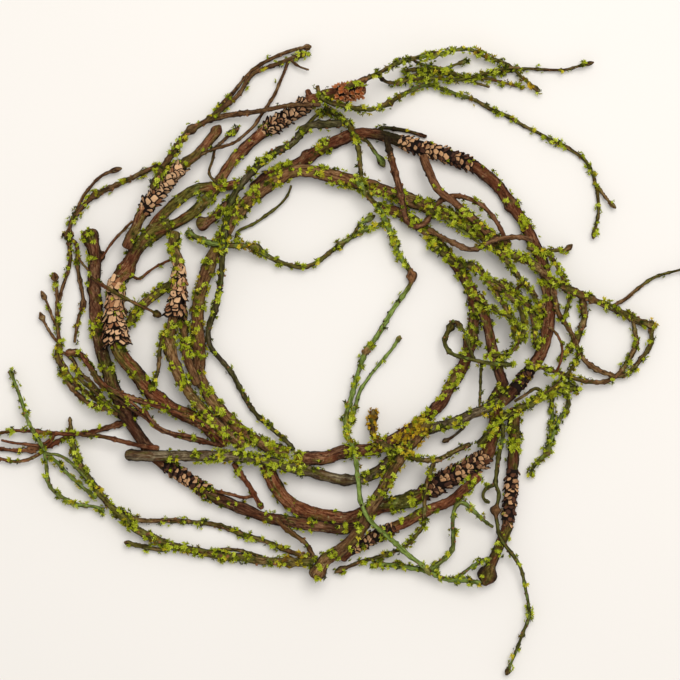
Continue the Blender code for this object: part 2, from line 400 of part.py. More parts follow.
                      (37.6, 60), (41, 55.6), (43.6, 49.6), (41, 43), (36.7, 37), (32.3, 31), (27, 22),
                      (21.8, 13.3), (15.6, 5.4), (13, -1.6), (10.3, -9.5), (6.4, -24), (3.9, -32.6),
                      (3.5, -39.7), (5, -46), (7.7, -52), (9.4, -59), (10.3, -68), (11.2, -75), (12, -83.7),
                      (15, -91), (18.2, -96), (25.3, -102.4), (32.3, -108.6), (37.6, -113.8), (43.8, -119),
                      (50, -123.5), (54, -129)],
             knots=[(43.4, 50.2, 3.2), (15.6, 5.4, 2.1)], moss=0.5, bud=(1.8, 3)),
        stem(2.2, 1.8, [(4, -41), (7.6, -34), (10.3, -24.7), (12, -18.6), (15.6, -13.3), (20, -7),
                        (24.4, -1.8), (28, 2.6), (32.3, 7.8), (36.3, 14.5)], bud=(1.9, 1.9))]),
]


def smooth_route(points):
    """Samples a smooth curve through the points at an even step."""
    marks = np.array(points, dtype=float)
    marks = np.vstack([2 * marks[0] - marks[1], marks, 2 * marks[-1] - marks[-2]])
    dense = []
    for a, b, c, d in zip(marks, marks[1:], marks[2:], marks[3:]):
        for t in np.linspace(0, 1, SPAN_SAMPLES, endpoint=False):
            bend = (2 * a - 5 * b + 4 * c - d) * t ** 2 + (3 * b - a - 3 * c + d) * t ** 3
            dense.append(0.5 * (2 * b + (c - a) * t + bend))
    dense.append(marks[-2])
    dense = np.array(dense)
    along = np.concatenate([[0], np.cumsum(np.linalg.norm(np.diff(dense, axis=0), axis=1))])
    even = np.linspace(0, along[-1], max(4, int(along[-1] / STEP) + 1))
    route = np.column_stack([np.interp(even, along, dense[:, axis]) for axis in (0, 1)])
    for _ in range(2):
        route[1:-1] = 0.25 * route[:-2] + 0.5 * route[1:-1] + 0.25 * route[2:]
    return even, route


def nearest(route, place):
    """The index of the route's sample nearest to a place in plan."""
    return int(np.argmin(np.linalg.norm(route[:, :2] - np.array(place[:2], dtype=float), axis=1)))


def radii_along(spec, along, route, draw):
    """The stem's radius at each sample: a wavering taper with knots, and buds at its ends."""
    share = along / along[-1]
    radius = 0.5 * (spec["wide"] * (1 - share) + spec["tip"] * share)
    shift = draw.uniform(0, 6)
    wave = WAVE_SHARE * np.sin(along / WAVE + shift)
    radius = radius * (1 + wave + SHORT_WAVE_SHARE * np.sin(along / SHORT_WAVE + 2 * shift))
    for x, y, size in spec.get("knots", []):
        off = np.abs(along - along[nearest(route, (x, y))]) / max(KNOT_REACH, size)
        bump = np.where(off < 1, 0.5 + 0.5 * np.cos(np.pi * np.minimum(off, 1)), 0)
        radius = np.maximum(radius, radius + (size - radius) * bump)
    for ending, middle in (("bud", along[-1]), ("head", 0.0)):
        if ending in spec:
            size, half = spec[ending]
            off = (np.abs(along - middle) - half) / half
            swell = size * np.sqrt(np.maximum(BUD_END, 1 - off ** 2))
            radius = np.where(np.abs(off) <= 1, np.where(off < 0, swell, np.maximum(radius, swell)), radius)
    return radius


def flared_radius(width, flare, share):
    """A sleeve's outer radius at a share of its length, which flares towards its end."""
    return 0.5 * (width + (flare - width) * share ** FLARE_POWER)


def upper_hull(x, y):
    """The lowest concave line that stays above the points."""
    kept = []
    for i in range(len(x)):
        while len(kept) > 1:
            a, b = kept[-2], kept[-1]
            if (y[b] - y[a]) * (x[i] - x[a]) > (y[i] - y[a]) * (x[b] - x[a]):
                break
            kept.pop()
        kept.append(i)
    return np.interp(x, x[kept], y[kept])


def drape(along, lowest):
    """Heights of a springy stem that lies over its lowest possible heights and sags between them."""
    reach = int(round(EASE / STEP))
    wide = np.pad(lowest, reach, mode="edge")
    raised = np.array([wide[i:i + 2 * reach + 1].max() for i in range(len(lowest))])
    curve = 0.5 * SAG * along ** 2
    lying = upper_hull(along, raised - curve) + curve
    wide = np.pad(lying, reach, mode="reflect", reflect_type="odd") if len(lying) > reach else lying
    if len(wide) == len(lying):
        return lying
    eased = np.array([wide[i:i + 2 * reach + 1].mean() for i in range(len(lying))])
    return np.maximum(eased, lowest)


def lowest_heights(route, radius, placed):
    """The least height of each sample that keeps the stem clear of the floor and of what lies there."""
    lowest = radius + FLOOR_GAP
    if len(placed):
        apart = np.linalg.norm(route[:, None, :2] - placed[None, :, :2], axis=2)
        reach = radius[:, None] + placed[None, :, 3] + GAP
        rise = np.sqrt(np.maximum(0, reach ** 2 - apart ** 2))
        lowest = np.maximum(lowest, np.where(apart < reach, placed[None, :, 2] + rise, 0).max(axis=1))
    return lowest


def lay_wreath():
    """Lays every stem down in order and returns the nodes with their stems' samples."""
    placed = np.zeros((0, 4))
    nodes = []
    for number, (name, finish, specs) in enumerate(WREATH):
        laid = []
        for order, spec in enumerate(specs):
            draw = random.Random(SEED * 1000 + number * 20 + order)
            along, route = smooth_route(spec["points"])
            radius = radii_along(spec, along, route, draw)
            guard = radius.copy()
            for _, first, last, width, flare, _ in spec.get("sleeves", []):
                a, b = nearest(route, first), nearest(route, last)
                share = np.clip((np.arange(len(route)) - a) / (b - a), 0, 1)
                covered = np.abs(np.arange(len(route)) - 0.5 * (a + b)) <= 0.5 * abs(b - a) + 1
                guard = np.where(covered, np.maximum(guard, flared_radius(width, flare, share)), guard)
            lowest = lowest_heights(route, guard, placed)
            lift = spec.get("lift", 0 if number < FLAT_NODES else TIP_LIFT)
            lowest[-1] = max(lowest[-1], radius[-1] + lift)
            if order == 0:
                lowest[0] = max(lowest[0], radius[0] + lift)
            height = drape(along, lowest)
            if order:
                parent = np.vstack([one["line"] for one in laid])
                root = parent[nearest(parent, route[0])]
                route[0] = root[:2]
                rise = max(0.0, root[2] - height[0])
                height = height + rise * np.exp(-along / ROOT_BLEND)
                height[0] = root[2]
            if "foot" in spec:
                at = nearest(route, spec["foot"])
                off = np.minimum(np.abs(along - along[at]) / FOOT_REACH, 1)
                drop = height[at] - radius[at] + FOOT_CUT
                height = height - drop * (0.5 + 0.5 * np.cos(np.pi * off))
            line = np.column_stack([route, height, radius])
            laid.append({"spec": spec, "along": along, "line": line, "guard": guard})
        for one in laid:
            placed = np.vstack([placed, np.column_stack([one["line"][:, :3], one["guard"]])])
        nodes.append({"name": name, "finish": finish, "stems": laid})
    return nodes


def thin_out(line, deviation):
    """Keeps the samples that the stem's shape and width need, as indices. Heights count for more."""
    line = line * (1, 1, HEIGHT_WEIGHT, 1)
    kept = {0, len(line) - 1}
    spans = [(0, len(line) - 1)]
    while spans:
        a, b = spans.pop()
        if b - a < 2:
            continue
        share = np.linspace(0, 1, b - a + 1)[1:-1, None]
        off = np.linalg.norm(line[a + 1:b] - (line[a] * (1 - share) + line[b] * share), axis=1)
        worst = int(np.argmax(off))
        if off[worst] > deviation:
            middle = a + 1 + worst
            kept.add(middle)
            spans += [(a, middle), (middle, b)]
    return sorted(kept)


def finish_material(name, finish):
    """A plain material in the part's colour."""
    material = bpy.data.materials.new(name)
    material.use_nodes = True
    shader = material.node_tree.nodes["Principled BSDF"]
    shader.inputs["Base Color"].default_value = (*finish[0], 1)
    shader.inputs["Roughness"].default_value = finish[1]
    shader.inputs["Metallic"].default_value = 0.0
    return material


def tube(name, line, sides, collection):
    """A closed tube along a line of (x, y, z, radius), with an even number of sides."""
    curve = bpy.data.curves.new("route", "CURVE")
    curve.dimensions = "3D"
    curve.bevel_depth = MM
    curve.bevel_resolution = (sides - 4) // 2
    curve.use_fill_caps = True
    spline = curve.splines.new("POLY")
    spline.points.add(len(line) - 1)
    for point, (x, y, z, radius) in zip(spline.points, line):
        point.co = (x * MM, y * MM, z * MM, 1)
        point.radius = radius
    drawn = bpy.data.objects.new("route", curve)
    bpy.context.scene.collection.objects.link(drawn)
    bpy.context.view_layer.update()
    evaluated = drawn.evaluated_get(bpy.context.evaluated_depsgraph_get())
    mesh = bpy.data.meshes.new_from_object(evaluated)
    solid = bpy.data.objects.new(name, mesh)
    solid.matrix_world = drawn.matrix_world
    bpy.data.objects.remove(drawn)
    bpy.data.curves.remove(curve)
    shaped = bmesh.new()
    shaped.from_mesh(mesh)
    bmesh.ops.remove_doubles(shaped, verts=shaped.verts, dist=WELD)
    bmesh.ops.recalc_face_normals(shaped, faces=shaped.faces)
    shaped.to_mesh(mesh)
    shaped.free()
    collection.objects.link(solid)
    return solid


def tuft(root, tip, wide, collection):
    """A pointed three-sided moss leaf from its sunk root to its tip."""
    leaf = bmesh.new()
    axis = tip - root
    length = axis.length * MM
    bmesh.ops.create_cone(leaf, cap_ends=True, segments=3, radius1=wide * MM, radius2=0, depth=length)
    turn = axis.to_track_quat("Z", "Y").to_matrix().to_4x4()
    place = Matrix.Translation((root + 0.5 * axis) * MM) @ turn
    bmesh.ops.transform(leaf, matrix=place, verts=leaf.verts)
    mesh = bpy.data.meshes.new("tuft")
    leaf.to_mesh(mesh)
    leaf.free()
    grown = bpy.data.objects.new("tuft", mesh)
    collection.objects.link(grown)
    return grown


def apply_boolean(target, operation, operand):
    """Joins or cuts the target by an object or a collection and keeps the result."""
    change = target.modifiers.new("shape", "BOOLEAN")
    change.operation = operation
    change.solver = "EXACT"
    if isinstance(operand, bpy.types.Collection):
        change.operand_type = "COLLECTION"
        change.collection = operand
    else:
        change.object = operand
    bpy.context.view_layer.update()
    evaluated = target.evaluated_get(bpy.context.evaluated_depsgraph_get())
    shaped = bpy.data.meshes.new_from_object(evaluated)
    target.modifiers.clear()
    old = target.data
    target.data = shaped
    bpy.data.meshes.remove(old)


def keep_largest_body(target):
    """Drops loose scraps that a join left beside the main body."""
    shaped = bmesh.new()
    shaped.from_mesh(target.data)
    bmesh.ops.remove_doubles(shaped, verts=shaped.verts, dist=SCRAP_WELD)
    bmesh.ops.dissolve_degenerate(shaped, edges=shaped.edges, dist=SCRAP_WELD)
    left = set(shaped.verts)
    bodies = []
    while left:
        body = {left.pop()}
        edge = list(body)
        while edge:
            for link in edge.pop().link_edges:
                for vertex in link.verts:
                    if vertex in left:
                        left.discard(vertex)
                        body.add(vertex)
                        edge.append(vertex)
        bodies.append(body)
    bodies.sort(key=len, reverse=True)
    scraps = [vertex for body in bodies[1:] for vertex in body]
    if scraps:
        print(target.name, "dropped", [len(body) for body in bodies[1:]])
        bmesh.ops.delete(shaped, geom=scraps, context="VERTS")
    shaped.to_mesh(target.data)
    shaped.free()


def frame_at(ahead):
    """The directions across and up from a stem that runs ahead."""
    across = ahead.cross(Vector((0, 0, 1))).normalized()
    return across, across.cross(ahead)


def try_leaf(line, at, draw):
    """A moss leaf that may grow at a sample of a stem: its root, its tip and its width."""
    x, y, z, radius = line[at]
    ahead = Vector((line[at + 1] - line[at - 1])[:3]).normalized()
    across, up = frame_at(ahead)
    turn = math.radians(draw.uniform(-LEAF_SPREAD, LEAF_SPREAD) + draw.choice((0, 0, 90, -90)))
    out = across * math.sin(turn) + up * math.cos(turn)
    lean = ahead * draw.uniform(-LEAF_LEAN, LEAF_LEAN)
    root = Vector((x, y, z))
    tip = root + (out + lean).normalized() * (radius + draw.uniform(LEAF_SHORTEST, LEAF_LONGEST))
    wide = min(0.85 * radius + 0.4, draw.uniform(LEAF_NARROWEST, LEAF_WIDEST))
    return root, tip, wide


def leaf_is_clear(root, tip, wide, others):
    """Whether a leaf stays clear of the surface and of the samples (x, y, z, radius) of other nodes."""
    shares = (0.4, 0.6, 0.8, 1.0)
    marks = np.array([root.lerp(tip, share) for share in shares])
    apart = np.linalg.norm(marks[:, None, :] - others[None, :, :3], axis=2) - others[None, :, 3]
    slack = wide * np.array([0.7, 0.45, 0.25, 0.1])[:, None] + LEAF_CLEARANCE
    return (apart > slack).all() and tip.z > LEAF_FLOOR_GAP


def grow_moss(nodes):
    """Chooses where moss leaves stand on the stems, clear of every other node."""
    solids = np.vstack([
        np.column_stack([one["line"][:, :3], one["guard"], np.full(len(one["line"]), number)])
        for number, node in enumerate(nodes) for one in node["stems"]])
    for number, node in enumerate(nodes):
        node["tufts"] = []
        draw = random.Random(SEED + number)
        for one in node["stems"]:
            line = one["line"]
            sleeved = one["guard"] > line[:, 3] + 0.01
            count = int(round(one["spec"].get("moss", 0) * one["along"][-1] / TUFT_SPACING))
            for _ in range(count):
                for _ in range(LEAF_TRIES):
                    at = draw.randrange(2, len(line) - 2)
                    if sleeved[max(0, at - SLEEVE_MARGIN):at + SLEEVE_MARGIN + 1].any():
                        continue
                    root, tip, wide = try_leaf(line, at, draw)
                    if leaf_is_clear(root, tip, wide, solids[solids[:, 4] != number]):
                        node["tufts"].append((root, tip, wide))
                        mark = [[*root.lerp(tip, share), wide * (1.1 - share), number]
                                for share in (0.5, 0.75, 1)]
                        solids = np.vstack([solids, np.array(mark)])
                        break


def build_node(node, parts):
    """Makes a node's stems and moss leaves and fuses them into one body."""
    repeats = bpy.data.collections.new("repeats")
    bpy.context.scene.collection.children.link(repeats)
    body = None
    for one in node["stems"]:
        line = one["line"]
        usual = 2 * np.median(line[:, 3])
        sides = 8 if usual > THICK else 6 if usual > MEDIUM else 4
        kept = thin_out(line, DEVIATION if sides > 4 else THIN_DEVIATION)
        one["kept"] = line[kept]
        if body is None:
            body = tube(node["name"], line[kept], sides, parts)
        else:
            tube("side_stem", line[kept], sides, repeats)
    for root, tip, wide in node["tufts"]:
        tuft(root, tip, wide, repeats)
    if len(repeats.objects):
        apply_boolean(body, "UNION", repeats)
    keep_largest_body(body)
    for leftover in list(repeats.objects):
        bpy.data.objects.remove(leftover)
    bpy.data.collections.remove(repeats)
    body.data.materials.clear()
    body.data.materials.append(finish_material(node["name"], node["finish"]))
    body.data.shade_smooth()
    body.data.set_sharp_from_angle(angle=math.radians(STEM_CREASE))
    return body


def sleeve_route(stem_line, first, last):
    """The stretch of a stem from one place to another, at an even step."""
    span = np.linalg.norm(np.diff(stem_line[:, :3], axis=0), axis=1)
    along = np.concatenate([[0], np.cumsum(span)])
    even = np.arange(0, along[-1], SLEEVE_SAMPLE)
    dense = np.column_stack([np.interp(even, along, stem_line[:, axis]) for axis in range(4)])
    a, b = nearest(dense, first), nearest(dense, last)
    return dense[a:b + 1] if a < b else dense[b:a + 1][::-1]


def raise_chips(body, skin, bore, draw):
    """Sets the sleeve's surface in and out, so that it stands up in chips two sides wide."""
    centres = [Vector(mark[:3]) * MM for mark in skin]
    chips = {}
    for vertex in body.data.vertices:
        ring = min(range(len(skin)), key=lambda i: (vertex.co - centres[i]).length)
        if ring in (0, len(skin) - 1):
            continue
        out = vertex.co - centres[ring]
        across, up = frame_at((centres[ring + 1] - centres[ring - 1]).normalized())
        turn = math.atan2(out.dot(across), out.dot(up))
        side = int(round(turn / (2 * math.pi) * SLEEVE_SIDES)) % SLEEVE_SIDES
        row = ring // 2
        chip = (row, (side + row % 2) // 2)
        if chip not in chips:
            chips[chip] = draw.uniform(CHIP_LEAST, 1.0)
        inner = (bore[ring] + SLEEVE_FLOOR) * MM
        rise = chips[chip] * (1 if ring % 2 else CHIP_SINK)
        reach = inner + (out.length - inner) * (1 - CHIP_RELIEF + CHIP_RELIEF * rise)
        vertex.co = centres[ring] + out.normalized() * max(reach, inner)


def build_sleeve(sleeve, stem_line, parts, cutters, draw):
    """Makes a hollow sleeve of raised chips round a stretch of a vine."""
    name, first, last, width, flare, finish = sleeve
    route = sleeve_route(stem_line, first, last)
    length = SLEEVE_SAMPLE * (len(route) - 1)
    rings = int(round(length / SLEEVE_RING)) + 1
    marks = np.linspace(0, len(route) - 1, rings).round().astype(int)
    share = np.linspace(0, 1, rings)
    bore = (route[:, 3] + SLEEVE_CLEARANCE) / math.cos(math.pi / SLEEVE_BORE_SIDES)
    ending = np.minimum(1, np.minimum(share, 1 - share) * length / SLEEVE_END_REACH)
    outer = flared_radius(width, flare, share) * (SLEEVE_END + (1 - SLEEVE_END) * np.sqrt(ending))
    outer = np.maximum(outer, bore[marks] + SLEEVE_WALL)
    skin = np.column_stack([route[marks, :3], outer])
    body = tube(name, skin, SLEEVE_SIDES, parts)
    raise_chips(body, skin, bore[marks], draw)
    hole = np.column_stack([route[:, :3], bore])
    hole = hole[thin_out(hole, BORE_DEVIATION)]
    ends = [2 * hole[0] - hole[1], 2 * hole[-1] - hole[-2]]
    for end, edge in zip(ends, (hole[0], hole[-1])):
        end[3] = edge[3]
    cutter = tube(name + "_bore", np.vstack([ends[0], hole, ends[1]]), SLEEVE_BORE_SIDES, cutters)
    cutter.hide_render = True
    cutter.display_type = "WIRE"
    apply_boolean(body, "DIFFERENCE", cutter)
    keep_largest_body(body)
    bpy.data.objects.remove(cutter)
    body.data.materials.clear()
    body.data.materials.append(finish_material(name, finish))
    body.data.shade_smooth()
    body.data.set_sharp_from_angle(angle=math.radians(SLEEVE_CREASE))


def flatten_feet(body, cutters):
    """Cuts the vine flat where it rests on the surface."""
    box = bmesh.new()
    bmesh.ops.create_cube(box, size=1)
    bmesh.ops.scale(box, vec=(BLOCK_WIDTH, BLOCK_WIDTH, BLOCK_DEPTH), verts=box.verts)
    bmesh.ops.translate(box, vec=(0, 0, -0.5 * BLOCK_DEPTH), verts=box.verts)
    mesh = bpy.data.meshes.new("surface")
    box.to_mesh(mesh)
    box.free()
    surface = bpy.data.objects.new("surface", mesh)
    cutters.objects.link(surface)
    surface.hide_render = True
    surface.display_type = "WIRE"
    apply_boolean(body, "DIFFERENCE", surface)
    bpy.data.objects.remove(surface)


def main():
    """Builds the whole wreath."""
    for item in list(bpy.data.objects):
        bpy.data.objects.remove(item)
    parts = bpy.data.collections.new("moss_candle_ring")
    cutters = bpy.data.collections.new("cutters")
    bpy.context.scene.collection.children.link(parts)
    bpy.context.scene.collection.children.link(cutters)
    nodes = lay_wreath()
    grow_moss(nodes)
    for node in nodes:
        body = build_node(node, parts)
        if any("foot" in one["spec"] for one in node["stems"]):
            flatten_feet(body, cutters)
    draw = random.Random(SEED)
    for node in nodes:
        for one in node["stems"]:
            for sleeve in one["spec"].get("sleeves", []):
                build_sleeve(sleeve, one["kept"], parts, cutters, draw)


main()
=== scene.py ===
"""Moss candle ring: bark, flakes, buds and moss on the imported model's stems, on a pale floor in soft light.

The stems follow the same routes in plan, in millimetres, as the model's solids. They are laid in the same
order, so that each finely made stem lies where its solid lies.
"""
import math
import random

import bmesh
import bpy
import numpy as np
from mathutils import Matrix, Quaternion, Vector, noise


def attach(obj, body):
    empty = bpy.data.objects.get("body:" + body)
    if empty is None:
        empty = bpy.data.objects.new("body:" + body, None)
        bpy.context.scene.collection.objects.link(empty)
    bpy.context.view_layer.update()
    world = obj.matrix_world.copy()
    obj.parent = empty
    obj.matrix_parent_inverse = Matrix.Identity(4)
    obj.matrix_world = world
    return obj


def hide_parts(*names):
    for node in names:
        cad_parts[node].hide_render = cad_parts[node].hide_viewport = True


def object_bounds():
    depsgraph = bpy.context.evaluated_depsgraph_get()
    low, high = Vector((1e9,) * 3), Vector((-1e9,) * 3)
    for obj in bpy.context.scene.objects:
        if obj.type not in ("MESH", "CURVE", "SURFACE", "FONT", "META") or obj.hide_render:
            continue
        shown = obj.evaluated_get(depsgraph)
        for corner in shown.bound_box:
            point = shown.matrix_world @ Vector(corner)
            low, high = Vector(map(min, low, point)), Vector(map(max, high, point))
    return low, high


bl_info = {
    "name": "Moss candle ring",
    "version": (1, 0, 0),
    "blender": (4, 5, 0),
    "location": "View3D > Sidebar > Wreath",
    "description": "Dresses a wreath of vines with bark, flaky sleeves, buds and moss",
    "category": "Object",
}

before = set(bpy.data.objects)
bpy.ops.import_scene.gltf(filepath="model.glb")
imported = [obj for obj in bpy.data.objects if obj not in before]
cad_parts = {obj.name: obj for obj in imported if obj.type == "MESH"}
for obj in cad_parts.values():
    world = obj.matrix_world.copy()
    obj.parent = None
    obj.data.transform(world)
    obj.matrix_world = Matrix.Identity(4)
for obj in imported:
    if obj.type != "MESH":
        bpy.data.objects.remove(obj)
CAD_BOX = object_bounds()
BOX = np.array(CAD_BOX) * 1000

MM = 0.001
SEED = 7

# Laying of the stems, in millimetres. The first nodes' tips lie flat and those of the others are lifted.
STEP = 1.5
GAP = 0.3
FLOOR_GAP = 1.2
TIP_LIFT = 4.0
FLAT_NODES = 5
SAG = 0.0035
EASE = 6.0
KNOT_REACH = 4.0
ROOT_REACH = 5.0
FOOT_CUT = 0.8
FOOT_REACH = 26.0

# Room that moss and knobs leave to the floor and to the model's outline, in millimetres
FLOOR_ROOM = 2.4
EDGE_ROOM = 2.6
ROOM = 0.5 * (BOX[1, :2] - BOX[0, :2]) - EDGE_ROOM

# Skins of the stems: least radius and sides, the greatest radii of twigs and thin twigs, all in millimetres,
# and the rings without knobs at a twig's ends
SKIN_SIDES = ((2.8, 20), (1.8, 14), (0.0, 10))
TWIG_RADIUS = 2.4
THIN_RADIUS = 2.2
KNOB_FREE_RINGS = 4

# Moss: a rosette's leaves with their rise and width, how far it may lie from the middle of its clump, so
# that none floats beside a thin twig, and where the four quarters meet
ROSETTE_LEAVES = 6
LEAF_RISE = 0.6
LEAF_WIDTH = 0.22
CLUMP_REACH = 1.1
QUARTERS_MEET = (-20, 22)

# Flaky sleeves: step along the sleeve, the core's sides, its cover over the stem and its share of the sleeve
SLEEVE_STEP = 0.8
CORE_SIDES = 18
CORE_COVER = 0.4
CORE_SHARE = 0.66

# Floor, light and camera: metres, with the stems' height and the picture's middle in millimetres
FLOOR_SIZE = 3.0
FLOOR_DROP = 0.1 * MM
LIGHT_SIZE = 1.5
LIGHT_PLACE = (0.3, 0.62, 1.9)
LIGHT_COLOUR = (1.0, 0.985, 0.96)
SKY_COLOUR = (1.0, 0.99, 0.975, 1.0)
STEM_HEIGHT = 12
PICTURE_MIDDLE = 12
SENSOR = 36.0
FARTHEST = 10.0

# How much dry bark, moss and floor shine, where 0.5 is usual for a varnished surface
GLOSS = 0.15

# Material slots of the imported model
BARK = "brown_bark"
DARK_BARK = "dark_bark"
OLIVE_BARK = "mossy_bark"
GREY_BARK = "grey_bark"
FLAKES = "tan_flakes"
DARK_FLAKES = "dark_flakes"


def stem(wide, tip, points, **more):
    """A route in plan with its first and last width, and what grows on it."""
    return {"wide": wide, "tip": tip, "points": points, **more}


